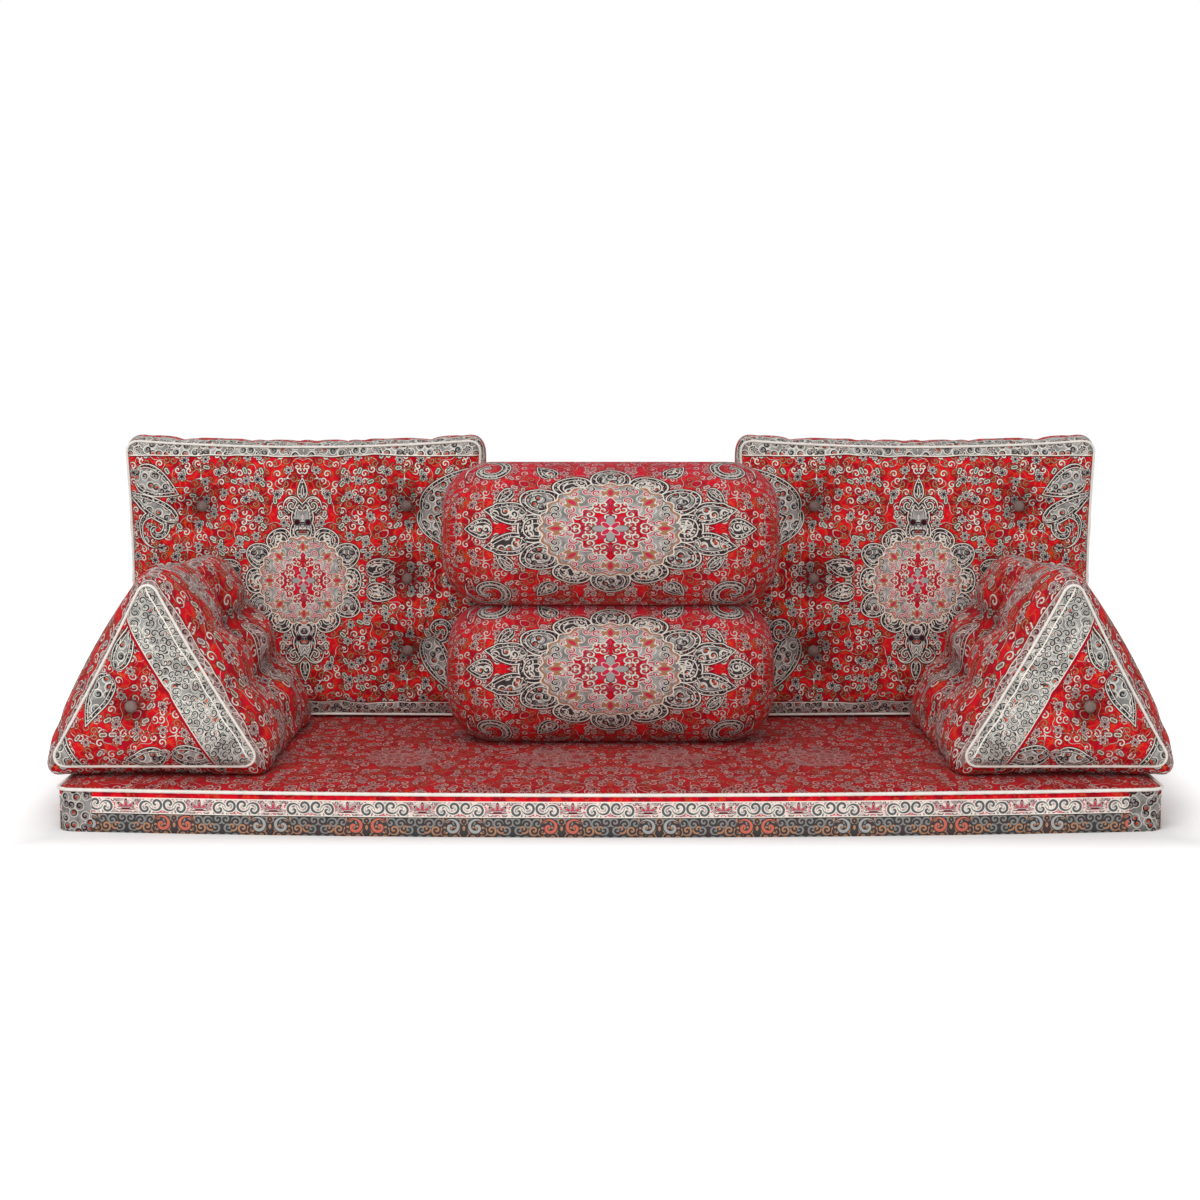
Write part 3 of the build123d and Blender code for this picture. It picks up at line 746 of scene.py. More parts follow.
def seat_band(cloth: Weaver) -> Signal:
    """The mattress's band: red line, light border with palmettes, and a dark scroll band at its foot.

    Args:
        cloth: The weaver of its material.

    Returns:
        The cloth's colour.
    """
    u, v = cloth.u, cloth.v
    period = 127 * MM
    local = ((u * (1 / period)).fract() - 0.5) * period
    side, height = abs(local), v - 48 * MM
    high = cloth.mix(Yarn.PALE, Yarn.CREAM, cloth.noise(cloth.vector(u, v), 90, 1).over(0.5, 0.2))
    sprig = cloth.marks(side, v, 12 * MM, 0.51)
    yarn = cloth.mix(Yarn.ROSE, Yarn.SLATE, sprig.chance[0].over(0.5, 0.01))
    high = cloth.mix(high, yarn, cloth.curl(sprig, 5.4 * MM, 2.0 * MM, 6.4 * MM).over(0))
    radius, turn = cloth.polar(local, height + 7 * MM)
    palm = ((0.68 + 0.32 * (turn * 7 + 0.25).cos()) * (19 * MM) - radius).least(height + 8 * MM)
    high = cloth.lined(high, palm, Yarn.MAROON, Yarn.CREAM, 1.5 * MM)
    high = cloth.mix(high, Yarn.PALE, palm.over(3.2 * MM))
    high = cloth.mix(high, Yarn.ROSE, palm.over(5.4 * MM))
    high = cloth.mix(high, Yarn.ROSE, 0.14)
    snake = cloth.hook(side, height, (0.034, -0.004), 11 * MM, 0.2).most(
        cloth.hook(-side, -height, (-0.052, -0.003), 11 * MM, 0.2))
    high = cloth.lined(high, snake, Yarn.SLATE, Yarn.CREAM, 1.4 * MM)
    wide = 165 * MM
    share = u * (1 / wide)
    beside = abs(share.fract() - 0.5) * wide
    cloud = cloth.noise(cloth.vector(u, v), 60, 1).over(0.5, 0.1)
    low = cloth.mix(Yarn.MAROON, Yarn.CHARCOAL, cloud)
    scroll = cloth.marks(beside, v, 16 * MM, 0.17, 0.7)
    yarn = cloth.mix(Yarn.SILVER, Yarn.TAN, scroll.chance[0].over(0.5, 0.01))
    low = cloth.lined(low, cloth.curl(scroll, 7 * MM, 3.2 * MM, 9.5 * MM), yarn, Yarn.CHARCOAL, 1.0 * MM)
    big = cloth.hook(beside, v, (0.021, 0.017), 12.5 * MM, 0.1)
    turned = (share * 0.5).fract().over(0.5, 0.01)
    yarn = cloth.mix(Yarn.PALE, Yarn.ORANGE, turned * 0.85)
    low = cloth.lined(low, big, yarn, Yarn.CHARCOAL, 1.6 * MM)
    low = cloth.mix(low, Yarn.PALE, 0.10)
    colour = cloth.mix(low, high, v.over(34 * MM))
    colour = cloth.mix(colour, Yarn.CREAM, v.within(33.4 * MM, 35.0 * MM))
    colour = cloth.mix(colour, Yarn.CHARCOAL, v.within(32.2 * MM, 33.4 * MM))
    colour = cloth.mix(colour, cloth.ground(u, v), v.over(61 * MM))
    colour = cloth.mix(colour, Yarn.CREAM, v.within(59.6 * MM, 61.4 * MM))
    end = cloth.mix(cloth.filigree(u, v), Yarn.MAROON, 0.30)
    return cloth.mix(colour, end, abs(u).over(0.885, MM))


def arm_face(cloth: Weaver) -> Signal:
    """Front of a wedge: a broad scroll stripe down its inner slope, and botehs at its other edges.

    Args:
        cloth: The weaver of its material.

    Returns:
        The cloth's colour.
    """
    u, v = cloth.u, cloth.v
    colour = cloth.mix(cloth.field(u, v), Yarn.SCARLET, 0.14)
    upper = cloth.boteh(u, v, (0.124, 0.172), 64, 0.088, 0.019, 0.008)
    lower = cloth.boteh(u, v, (0.116, 0.160), 232, 0.098, 0.021, 0.018)
    foot = cloth.boteh(u, v, (0.218, 0.026), 346, 0.080, 0.021, 0.004)
    foot_two = cloth.boteh(u, v, (0.206, 0.024), 196, 0.072, 0.019, -0.004)
    corner = 0.050 - (u * 0.85 + v * 0.45)
    drops = upper.most(lower).most(foot.most(foot_two)).most(corner)
    colour = cloth.edged(colour, cloth.filigree(u, v), drops)
    rise = math.hypot(ArmSizes.height, ArmSizes.width * (1 - ArmSizes.peak_share))
    normal = (ArmSizes.height / rise, ArmSizes.width * (1 - ArmSizes.peak_share) / rise)
    depth = ArmSizes.width * normal[0] - (u * normal[0] + v * normal[1])
    scroll = cloth.marks(u, v, 14 * MM, 0.43, 0.9)
    stripe = cloth.filigree(u, v)
    curl = cloth.curl(scroll, 6.0 * MM, 2.7 * MM, 7.4 * MM)
    patch = cloth.noise(cloth.vector(u, v), 24, 1)
    ink = cloth.mix(Yarn.SLATE, Yarn.CHARCOAL, patch.over(0.48, 0.10))
    stripe = cloth.lined(stripe, curl, ink, Yarn.CREAM, 0.9 * MM)
    stripe = cloth.mix(stripe, Yarn.SLATE, patch.over(0.52, 0.12) * 0.35)
    colour = cloth.mix(colour, stripe, depth.under(66 * MM))
    colour = cloth.mix(colour, Yarn.CREAM, depth.within(65 * MM, 66.6 * MM))
    colour = cloth.mix(colour, Yarn.CRIMSON, depth.within(66.6 * MM, 71 * MM))
    return cloth.mix(colour, Yarn.CREAM, depth.within(11 * MM, 12.8 * MM))


def arm_wrap(cloth: Weaver) -> Signal:
    """Slopes of a wedge: the field, large botehs, and silver strips at the ridge and the seams.

    Args:
        cloth: The weaver of its material.

    Returns:
        The cloth's colour.
    """
    u, v = cloth.u, cloth.v
    side = abs(u)
    colour = cloth.field(side * 0.72, v * 0.72)
    first = cloth.boteh(side, v, (0.104, 0.172), 219, 0.135, 0.027, -0.010)
    second = cloth.boteh(side, v, (0.120, 0.515), 188, 0.120, 0.026, 0.020)
    third = cloth.boteh(side, v, (0.140, 0.372), 2, 0.165, 0.020, 0.022)
    fourth = cloth.boteh(side, v, (0.345, 0.500), 172, 0.140, 0.026, -0.024)
    fifth = cloth.boteh(side, v, (0.292, 0.196), 316, 0.125, 0.027, 0.012)
    drops = first.most(second).most(third.most(fourth)).most(fifth)
    colour = cloth.edged(colour, cloth.filigree(side, v), drops)
    colour = cloth.mix(colour, cloth.filigree(u, v), side.under(10 * MM))
    colour = cloth.border(colour, side, v, 18 * MM)
    return cloth.mix(colour, Yarn.CRIMSON, 0.22)


class Cloths:
    """Every finish of the sofa, made once."""

    def __init__(self) -> None:
        """Make the materials by name."""
        weaves = (
            Weave("back_face_cloth", back_face), Weave("field_cloth", plain_field),
            Weave("band_cloth", band_field), Weave("bolster_cloth", bolster_face),
            Weave("seat_cloth", seat_face), Weave("seat_band_cloth", seat_band),
            Weave("arm_face_cloth", arm_face), Weave("arm_wrap_cloth", arm_wrap))
        trims = (
            Trim("piping_cloth", tone("f2ede6"), tone("cfc7bd"), 1.2 * MM, 0.7),
            Trim("button_cloth", tone("86716a"), tone("2c1517"), 3 * MM, 0.75),
            Trim("twine", tone("d8cfbf"), tone("a2977f"), 0.8 * MM, 0.8),
            Trim("thread", tone("b9a89d"), tone("8a3a3a"), 0.6 * MM, 0.6),
            Trim("under_cloth", tone("3a3134"), tone("241f22"), 1.5 * MM, 0.85),
            Trim("zip_tape", tone("2a2628"), tone("171516"), 0.9 * MM, 0.8),
            Trim("zip_teeth", tone("4a4748"), tone("262425"), 0.8 * MM, 0.35),
            Trim("zip_metal", tone("b9b4ac"), tone("8d8983"), 1.0 * MM, 0.3, 1.0))
        self.made = {finish.name: finish.material() for finish in weaves + trims}

    def __getitem__(self, name: str) -> Material:
        """The finish of that name."""
        return self.made[name]


@dataclass(frozen=True)
class Outline:
    """A rounded polygon whose sides are drawn in, walked anticlockwise."""

    corners: tuple[tuple[float, float], ...]
    draws: tuple[float, ...]
    corner_r: float
    counts: tuple[int, ...]

    def moved(self, insets: Sequence[float]) -> Outline:
        """The outline with each side set in by its own distance, or out if that is negative.

        Args:
            insets: Each side's distance.

        Returns:
            The new outline.
        """
        lines = []
        for index, inset in enumerate(insets):
            start = np.array(self.corners[index])
            along = np.array(self.corners[(index + 1) % len(self.corners)]) - start
            along = along / np.linalg.norm(along)
            lines.append((start + np.array([-along[1], along[0]]) * inset, along))
        corners = []
        for index, (start, along) in enumerate(lines):
            before, before_along = lines[index - 1]
            cross = before_along[0] * along[1] - before_along[1] * along[0]
            gap = start - before
            step = (gap[0] * along[1] - gap[1] * along[0]) / cross
            corners.append(tuple(before + before_along * step))
        radius = max(self.corner_r - min(min(insets), 0), 0.002)
        return Outline(tuple(corners), self.draws, radius, self.counts)

    def arc(self, index: int) -> np.ndarray:
        """Points round one corner, from the side before it to the side after it.

        Args:
            index: Number of the corner.

        Returns:
            Points along the arc.
        """
        corner = np.array(self.corners[index])
        before = np.array(self.corners[index - 1]) - corner
        after = np.array(self.corners[(index + 1) % len(self.corners)]) - corner
        before, after = before / np.linalg.norm(before), after / np.linalg.norm(after)
        half = math.acos(float(before @ after)) / 2
        middle = (before + after) / np.linalg.norm(before + after)
        centre = corner + middle * self.corner_r / math.sin(half)
        first = corner + before * self.corner_r / math.tan(half) - centre
        last = corner + after * self.corner_r / math.tan(half) - centre
        sweep = math.pi - 2 * half
        shares = np.linspace(0, 1, 17)[:, None]
        spread = np.sin((1 - shares) * sweep) * first + np.sin(shares * sweep) * last
        return centre + spread / math.sin(sweep)

    def sides(self) -> list[np.ndarray]:
        """Points of each side, from the middle of one rounded corner to the middle of the next.

        Returns:
            Points of each side.
        """
        made = []
        total = len(self.corners)
        for index in range(total):
            start_arc, end_arc = self.arc(index), self.arc((index + 1) % total)
            half = len(start_arc) // 2
            line = np.vstack([start_arc[half:], end_arc[:half + 1]])
            steps = np.linalg.norm(np.diff(line, axis=0), axis=1)
            place = np.concatenate([[0], np.cumsum(steps)]) / steps.sum()
            shares = np.linspace(0, 1, 2 * self.counts[index] + 1)
            points = np.stack([np.interp(shares, place, line[:, axis]) for axis in (0, 1)], axis=1)
            along = np.array(self.corners[(index + 1) % total]) - np.array(self.corners[index])
            along = along / np.linalg.norm(along)
            draw = self.draws[index] * 4 * shares * (1 - shares)
            made.append(points + np.outer(draw, [-along[1], along[0]]))
        return made

    def fan(self) -> list[np.ndarray]:
        """The face inside as one grid of points for each corner, all meeting in the middle.

        Returns:
            One grid for each corner.
        """
        sides = self.sides()
        middles = [side[self.counts[index]] for index, side in enumerate(sides)]
        centre = np.mean(middles, axis=0)
        grids = []
        for index, side in enumerate(sides):
            before = sides[index - 1]
            near = side[:self.counts[index] + 1]
            other = before[::-1][:self.counts[index - 1] + 1]
            a = np.linspace(0, 1, len(near))[:, None, None]
            b = np.linspace(0, 1, len(other))[None, :, None]
            far = middles[index - 1] + (centre - middles[index - 1]) * a
            end = middles[index] + (centre - middles[index]) * b
            ruled = (1 - b) * near[:, None] + b * far + (1 - a) * other[None] + a * end
            ruled = ruled - ((1 - a) * (1 - b) * near[0] + a * (1 - b) * near[-1]
                             + (1 - a) * b * other[-1] + a * b * centre)
            grids.append(ruled)
        return grids

    def distance(self, points: np.ndarray) -> np.ndarray:
        """Distance of points to the outline.

        Args:
            points: Points inside the outline.

        Returns:
            Their distances.
        """
        rim = np.vstack([side[:-1] for side in self.sides()])
        flat = points.reshape(-1, 2)
        after = np.roll(rim, -1, axis=0)
        step = after - rim
        best = np.full(len(flat), np.inf)
        for start, along in zip(rim, step):
            share = np.clip((flat - start) @ along / (along @ along), 0, 1)
            best = np.minimum(best, np.linalg.norm(flat - start - share[:, None] * along, axis=1))
        best[best < 1e-6] = 0
        return best.reshape(points.shape[:-1])


def walk(line: np.ndarray) -> np.ndarray:
    """Distance along a line at each of its points."""
    return np.concatenate([[0], np.cumsum(np.linalg.norm(np.diff(line, axis=0), axis=1))])


def crossed(across: np.ndarray, along: np.ndarray) -> np.ndarray:
    """A grid of cloth coordinates from those of its rows and columns."""
    return np.stack(np.meshgrid(across, along, indexing="ij"), axis=-1)


def wall(levels: Sequence[list[np.ndarray]], index: int, heights: np.ndarray) -> np.ndarray:
    """The grid over one side of a row of outlines.

    Args:
        levels: The sides of each outline.
        index: Which side.
        heights: Height of each outline.

    Returns:
        The grid of points.
    """
    return np.stack([np.column_stack([level[index], np.full(len(level[index]), height)])
                     for level, height in zip(levels, heights)], axis=1)


def crowned(distance: np.ndarray, rise: float, reach: float) -> np.ndarray:
    """Height of a crown over points at some distance inside its seam."""
    share = np.clip(1 - distance / reach, 0, 1)
    return rise * np.sqrt(1 - share ** 2)


@dataclass
class Shell:
    """A closed cushion surface, gathered from grids of points that share their edges."""

    grids: list[tuple[np.ndarray, np.ndarray, int, bool]] = field(default_factory=list)

    def add(self, points: np.ndarray, cloth: np.ndarray, finish: int, turned: bool = False) -> None:
        """Add a grid with its cloth coordinates, its finish, and whether it faces the other way."""
        self.grids.append((points, cloth, finish, turned))

    def mesh(self, name: str) -> Mesh:
        """Weld the grids to one mesh with its cloth map.

        Args:
            name: Name of the mesh.

        Returns:
            The closed mesh.
        """
        faces, finishes, corners, offset = [], [], [], 0
        for points, cloth, finish, turned in self.grids:
            rows, columns = points.shape[:2]
            index = np.arange(rows * columns).reshape(rows, columns) + offset
            quads = np.stack([index[:-1, :-1], index[1:, :-1], index[1:, 1:], index[:-1, 1:]], axis=-1)
            quads = quads.reshape(-1, 4)
            quads = quads[:, ::-1] if turned else quads
            faces.append(quads)
            corners.append(cloth.reshape(-1, 2)[quads - offset])
            finishes += [finish] * len(quads)
            offset += rows * columns
        loose = np.vstack([points.reshape(-1, 3) for points, *_ in self.grids])
        _, first, inverse = np.unique(np.round(loose, 6), axis=0, return_index=True, return_inverse=True)
        quads = inverse.reshape(-1)[np.vstack(faces)]
        made = bpy.data.meshes.new(name)
        made.from_pydata(loose[first].tolist(), [], quads.tolist())
        made.uv_layers.new(name=CLOTH_MAP)
        made.uv_layers[CLOTH_MAP].data.foreach_set("uv", np.vstack(corners).ravel())
        made.polygons.foreach_set("material_index", finishes)
        made.polygons.foreach_set("use_smooth", [True] * len(quads))
        made.validate()
        return made


def placed(name: str, mesh: Mesh) -> Object:
    """Put a mesh in the scene under a piece's name.

    Args:
        name: Name of the piece.
        mesh: Its mesh.

    Returns:
        The piece.
    """
    made = bpy.data.objects.new(name, mesh)
    bpy.context.scene.collection.objects.link(made)
    return made


def coordinates(mesh: Mesh) -> np.ndarray:
    """The mesh's points as an array.

    Args:
        mesh: The mesh.

    Returns:
        A row for each point.
    """
    found = np.zeros(len(mesh.vertices) * 3)
    mesh.vertices.foreach_get("co", found)
    return found.reshape(-1, 3)


def move_points(mesh: Mesh, points: np.ndarray) -> None:
    """Put the mesh's points where the array says."""
    mesh.vertices.foreach_set("co", points.ravel())
    mesh.update()


def settled(piece: Object) -> Object:
    """Make a piece's modifiers part of its mesh.

    Args:
        piece: The piece.

    Returns:
        The same piece.
    """
    graph = bpy.context.evaluated_depsgraph_get()
    mesh = bpy.data.meshes.new_from_object(piece.evaluated_get(graph), preserve_all_data_layers=True,
                                           depsgraph=graph)
    old = piece.data
    piece.modifiers.clear()
    piece.data = mesh
    mesh.name = piece.name
    bpy.data.meshes.remove(old)
    return piece


@dataclass(frozen=True)
class Stuffing:
    """How a cover is blown up over its filling."""

    pressure: float = 3.0
    slack: float = 0.02
    cap: float = 8 * MM
    frames: int = 20

    def fill(self, mesh: Mesh, held: np.ndarray) -> None:
        """Inflate a cover with held seams and tufts, and keep it near its first shape.

        Args:
            mesh: The cover, whose points are moved.
            held: How firmly each point is held, from 0 to 1.
        """
        before = coordinates(mesh)
        trial = placed("stuffing_trial", mesh.copy())
        group = trial.vertex_groups.new(name="held")
        for level in (1.0, 0.5):
            chosen = np.nonzero(held >= level)[0] if level == 1.0 else np.nonzero((held > 0) & (held < 1))[0]
            group.add(chosen.tolist(), level, "REPLACE")
        cloth = trial.modifiers.new("cloth", "CLOTH")
        settings = cloth.settings
        settings.quality = 5
        settings.mass = 0.25
        settings.tension_stiffness = 25
        settings.compression_stiffness = 12
        settings.shear_stiffness = 6
        settings.bending_stiffness = 0.25
        settings.use_pressure = True
        settings.uniform_pressure_force = self.pressure
        settings.shrink_min = -self.slack
        settings.vertex_group_mass = group.name
        settings.effector_weights.gravity = 0
        cloth.collision_settings.use_collision = False
        cloth.collision_settings.use_self_collision = False
        cloth.point_cache.frame_start = 1
        cloth.point_cache.frame_end = self.frames
        scene = bpy.context.scene
        for frame in range(1, self.frames + 1):
            scene.frame_set(frame)
        graph = bpy.context.evaluated_depsgraph_get()
        shaped = trial.evaluated_get(graph).to_mesh()
        after = coordinates(shaped)
        trial.evaluated_get(graph).to_mesh_clear()
        scene.frame_set(1)
        bpy.data.objects.remove(trial)
        step = after - before
        size = np.linalg.norm(step, axis=1, keepdims=True)
        step *= np.minimum(1, self.cap / np.maximum(size, 1e-9))
        step[held >= 1] = 0
        move_points(mesh, before + step)


@dataclass(frozen=True)
class Tuft:
    """A sewn dimple: its seat's place, the way its button faces, and how wide and deep it is."""

    at: tuple[float, float, float]
    aim: tuple[float, float, float]
    depth: float
    reach: float
    seat: float = 13 * MM
    folds: int = 7
    crease: float = 4 * MM
    steepness: float = 1.9
    swell: float = 0.9

    def spread(self, points: np.ndarray) -> tuple[np.ndarray, np.ndarray, np.ndarray, np.ndarray]:
        """Where points lie round the tuft.

        Args:
            points: Points of the cover before it is pulled in.

        Returns:
            Share of the way out to the tuft's reach, angle round its aim, height over the plain
            surface, and whether it is near enough.
        """
        aim = np.array(self.aim)
        gap = points - np.array(self.at) - aim * self.depth
        height = gap @ aim
        flat = gap - np.outer(height, aim)
        radius = np.linalg.norm(flat, axis=1)
        side = np.cross(aim, [0.31, 0.17, 0.93])
        side = side / np.linalg.norm(side)
        angle = np.arctan2(flat @ np.cross(aim, side), flat @ side)
        share = np.clip((radius - self.seat) / (self.reach - self.seat), 0, 1)
        return share, angle, height, (radius < self.reach) & (height > -0.07) & (height < 0.05)

    def fold(self, angle: np.ndarray) -> np.ndarray:
        """Height of the folds at angles round the tuft, from -1 to 1."""
        return np.cos(self.folds * angle + 5 * math.sin(self.at[2] * 40))

    def pull(self, points: np.ndarray) -> np.ndarray:
        """Draw points down into the dimple, with folds running out of it.

        Args:
            points: Points of the cover.

        Returns:
            Where they go.
        """
        share, angle, height, near = self.spread(points)
        drop = (self.depth + height) * (1 - share) ** self.steepness * (1 + self.swell * share)
        drop = drop + self.crease * self.fold(angle) * np.sin(math.pi * share) ** 2 * (1 - share)
        return points - np.outer(np.where(near, drop, 0), np.array(self.aim))

    def shade(self, points: np.ndarray) -> np.ndarray:
        """Shade painted on points by how deep they lie in the dimple and its folds, from 0 to 1.

        Args:
            points: Points of the cover.

        Returns:
            A share for each point.
        """
        share, angle, _, near = self.spread(points)
        fold = 0.5 + 0.5 * self.fold(angle)
        # Painted shade: darkest at the button's seat and fading outwards, with darker bands along the folds.
        return np.where(near, (1 - share) ** 3 + 0.5 * fold * share * (1 - share) ** 2, 0)

    def holds(self, points: np.ndarray) -> np.ndarray:
        """Which points its button holds down.

        Args:
            points: Points of the cover.

        Returns:
            Whether each point is held.
        """
        aim = np.array(self.aim)
        gap = points - np.array(self.at)
        height = gap @ aim
        radius = np.linalg.norm(gap - np.outer(height, aim), axis=1)
        return (radius < self.seat) & (np.abs(height) < 0.02)


class GrowthTree(Board):
    """A geometry node tree with named inputs, which ends in real geometry with its material."""

    def __init__(self, name: str, inputs: dict[str, tuple[str, object]]) -> None:
        """Make the tree.

        Args:
            name: The tree's name.
            inputs: Socket type and first value of each named input.
        """
        super().__init__(bpy.data.node_groups.new(name, "GeometryNodeTree"))
        face = self.tree.interface
        face.new_socket("Geometry", in_out="INPUT", socket_type="NodeSocketGeometry")
        for key, (kind, value) in inputs.items():
            socket = face.new_socket(key, in_out="INPUT", socket_type=kind)
            if value is not None:
                socket.default_value = value
        face.new_socket("Geometry", in_out="OUTPUT", socket_type="NodeSocketGeometry")
        self.start = self.node("NodeGroupInput")

    def given(self, key: str) -> Signal:
        """One of the tree's inputs."""
        return Signal(self, self.start.outputs[key])

    def spaced(self, key: str) -> Signal:
        """The given line as points at the distance that one of the tree's inputs says."""
        line = self.out("GeometryNodeMeshToCurve", None, {0: self.given("Geometry")})
        return self.out("GeometryNodeResampleCurve", {"mode": "LENGTH"}, {0: line, "Length": self.given(key)})

    def end(self, geometry: Signal) -> None:
        """Close the tree with real, smooth geometry in its material.

        Args:
            geometry: What the tree grew.
        """
        real = self.out("GeometryNodeRealizeInstances", None, {0: geometry})
        smooth = self.out("GeometryNodeSetShadeSmooth", None, {0: real})
        dressed = self.out("GeometryNodeSetMaterial", None,
                           {"Geometry": smooth, "Material": self.given("Finish")})
        self.node("NodeGroupOutput", None, {0: dressed})

    def grow(self, name: str, base: Mesh, values: dict[str, object]) -> Object:
        """Grow the tree on a mesh and keep the result as a plain mesh.

        Args:
            name: The new piece's name.
            base: The mesh that it grows on.
            values: Values of the tree's named inputs.

        Returns:
            The new piece.
        """
        piece = placed(name, base)
        modifier = piece.modifiers.new("growth", "NODES")
        modifier.node_group = self.tree
        identifiers = {item.name: item.identifier for item in self.tree.interface.items_tree
                       if item.in_out == "INPUT"}
        for key, value in values.items():
            modifier[identifiers[key]] = value
        piece.update_tag()
        bpy.context.view_layer.update()
        return settled(piece)


def piping_tree() -> GrowthTree:
    """Piping along a seam: a round cord in bias cloth, puckered a little at every few stitches.

    Returns:
        The tree.
    """
    tree = GrowthTree("piping_growth", {
        "Radius": ("NodeSocketFloat", 3 * MM), "Spacing": ("NodeSocketFloat", 4 * MM),
        "Pucker": ("NodeSocketFloat", 0.05), "Pucker length": ("NodeSocketFloat", 17 * MM),
        "Finish": ("NodeSocketMaterial", None)})
    line = tree.spaced("Spacing")
    length = tree.out("GeometryNodeSplineParameter", port="Length")
    wave = tree.math("SINE", length * TURN / tree.given("Pucker length"))
    line = tree.out("GeometryNodeSetCurveRadius", None,
                    {"Curve": line, "Radius": 1 + wave * tree.given("Pucker")})
    ring = tree.out("GeometryNodeCurvePrimitiveCircle", None,
                    {"Resolution": 10, "Radius": tree.given("Radius")})
    tree.end(tree.out("GeometryNodeCurveToMesh", None, {
        "Curve": line, "Profile Curve": ring, "Scale": tree.out("GeometryNodeInputRadius")}))
    return tree


def stitch_tree() -> GrowthTree:
    """A row of stitches along a line.

    Returns:
        The tree.
    """
    tree = GrowthTree("stitch_growth", {
        "Pitch": ("NodeSocketFloat", 8 * MM), "Length": ("NodeSocketFloat", 5 * MM),
        "Thread": ("NodeSocketFloat", 0.55 * MM), "Finish": ("NodeSocketMaterial", None)})
    line = tree.spaced("Pitch")
    stitch = tree.out("GeometryNodeMeshUVSphere", None, {"Segments": 5, "Rings": 4, "Radius": 1.0})
    half = tree.given("Length") * 0.5
    size = tree.vector(half, tree.given("Thread"), tree.given("Thread"))
    turn = tree.out("FunctionNodeAlignRotationToVector", {"axis": "X"},
                    {"Vector": tree.out("GeometryNodeInputTangent")})
    tree.end(tree.out("GeometryNodeInstanceOnPoints", None, {
        "Points": line, "Instance": stitch, "Rotation": turn, "Scale": size}))
    return tree


def stud_tree() -> GrowthTree:
    """A stud on every point, facing the way of the point's aim.

    Returns:
        The tree.
    """
    tree = GrowthTree("stud_growth", {
        "Stud": ("NodeSocketObject", None), "Finish": ("NodeSocketMaterial", None)})
    stud = tree.out("GeometryNodeObjectInfo", None, {"Object": tree.given("Stud")}, port="Geometry")
    aim = tree.out("GeometryNodeInputNamedAttribute", {"data_type": "FLOAT_VECTOR"}, {"Name": "aim"})
    turn = tree.out("FunctionNodeAlignRotationToVector", {"axis": "Z"}, {"Vector": aim})
    points = tree.out("GeometryNodeMeshToPoints", None, {"Mesh": tree.given("Geometry")})
    tree.end(tree.out("GeometryNodeInstanceOnPoints", None, {
        "Points": points, "Instance": stud, "Rotation": turn}))
    return tree


def loop_mesh(name: str, points: np.ndarray, closed: bool = True) -> Mesh:
    """A line of edges through points.

    Args:
        name: Name of the mesh.
        points: The points in order.
        closed: Whether the last joins the first.

    Returns:
        The mesh.
    """
    made = bpy.data.meshes.new(name)
    total = len(points)
    edges = [(index, (index + 1) % total) for index in range(total if closed else total - 1)]
    made.from_pydata(points.tolist(), edges, [])
    return made


def aimed_points(name: str, places: Sequence[tuple], aims: Sequence[tuple]) -> Mesh:
    """Points that each keep the way that a stud on them faces.

    Args:
        name: Name of the mesh.
        places: The points.
        aims: The way that each one faces.

    Returns:
        The mesh.
    """
    made = bpy.data.meshes.new(name)
    made.from_pydata(places, [], [])
    aim = made.attributes.new("aim", "FLOAT_VECTOR", "POINT")
    aim.data.foreach_set("vector", np.array(aims, float).ravel())
    return made


def button_mesh(name: str, radius: float, height: float, folds: int) -> Mesh:
    """A covered button, domed, with shallow folds gathered under its rim.

    Args:
        name: Name of the mesh.
        radius: The button's radius.
        height: Height of its dome.
        folds: Number of folds.

    Returns:
        The mesh.
    """
    around, rows = 4 * folds, 7
    angles = np.linspace(0, TURN, around, endpoint=False)
    shares = np.linspace(0, 1, rows)
    points = [(0.0, 0.0, height)]
    for share in shares[1:]:
        lift = height * math.cos(share * math.pi / 2) ** 0.8
        wave = 1 + 0.035 * share * np.cos(folds * angles)
        points += [(radius * share ** 0.8 * w * math.cos(a), radius * share ** 0.8 * w * math.sin(a), lift)
                   for w, a in zip(wave, angles)]
    points.append((0.0, 0.0, 0.0))
    faces = [(0, 1 + k, 1 + (k + 1) % around) for k in range(around)]
    for row in range(rows - 2):
        base = 1 + row * around
        faces += [(base + k, base + around + k, base + around + (k + 1) % around, base + (k + 1) % around)
                  for k in range(around)]
    base = 1 + (rows - 2) * around
    faces += [(base + (k + 1) % around, base + k, len(points) - 1) for k in range(around)]
    made = bpy.data.meshes.new(name)
    made.from_pydata(points, [], faces)
    return made


def mirrored(piece: Object, name: str) -> Object:
    """The right-hand twin of a left-hand piece.

    Args:
        piece: The left-hand piece.
        name: Name of its twin.

    Returns:
        The twin.
    """
    mesh = piece.data.copy()
    mesh.transform(Matrix.Scale(-1, 4, Vector((1, 0, 0))))
    mesh.flip_normals()
    return placed(name, mesh)


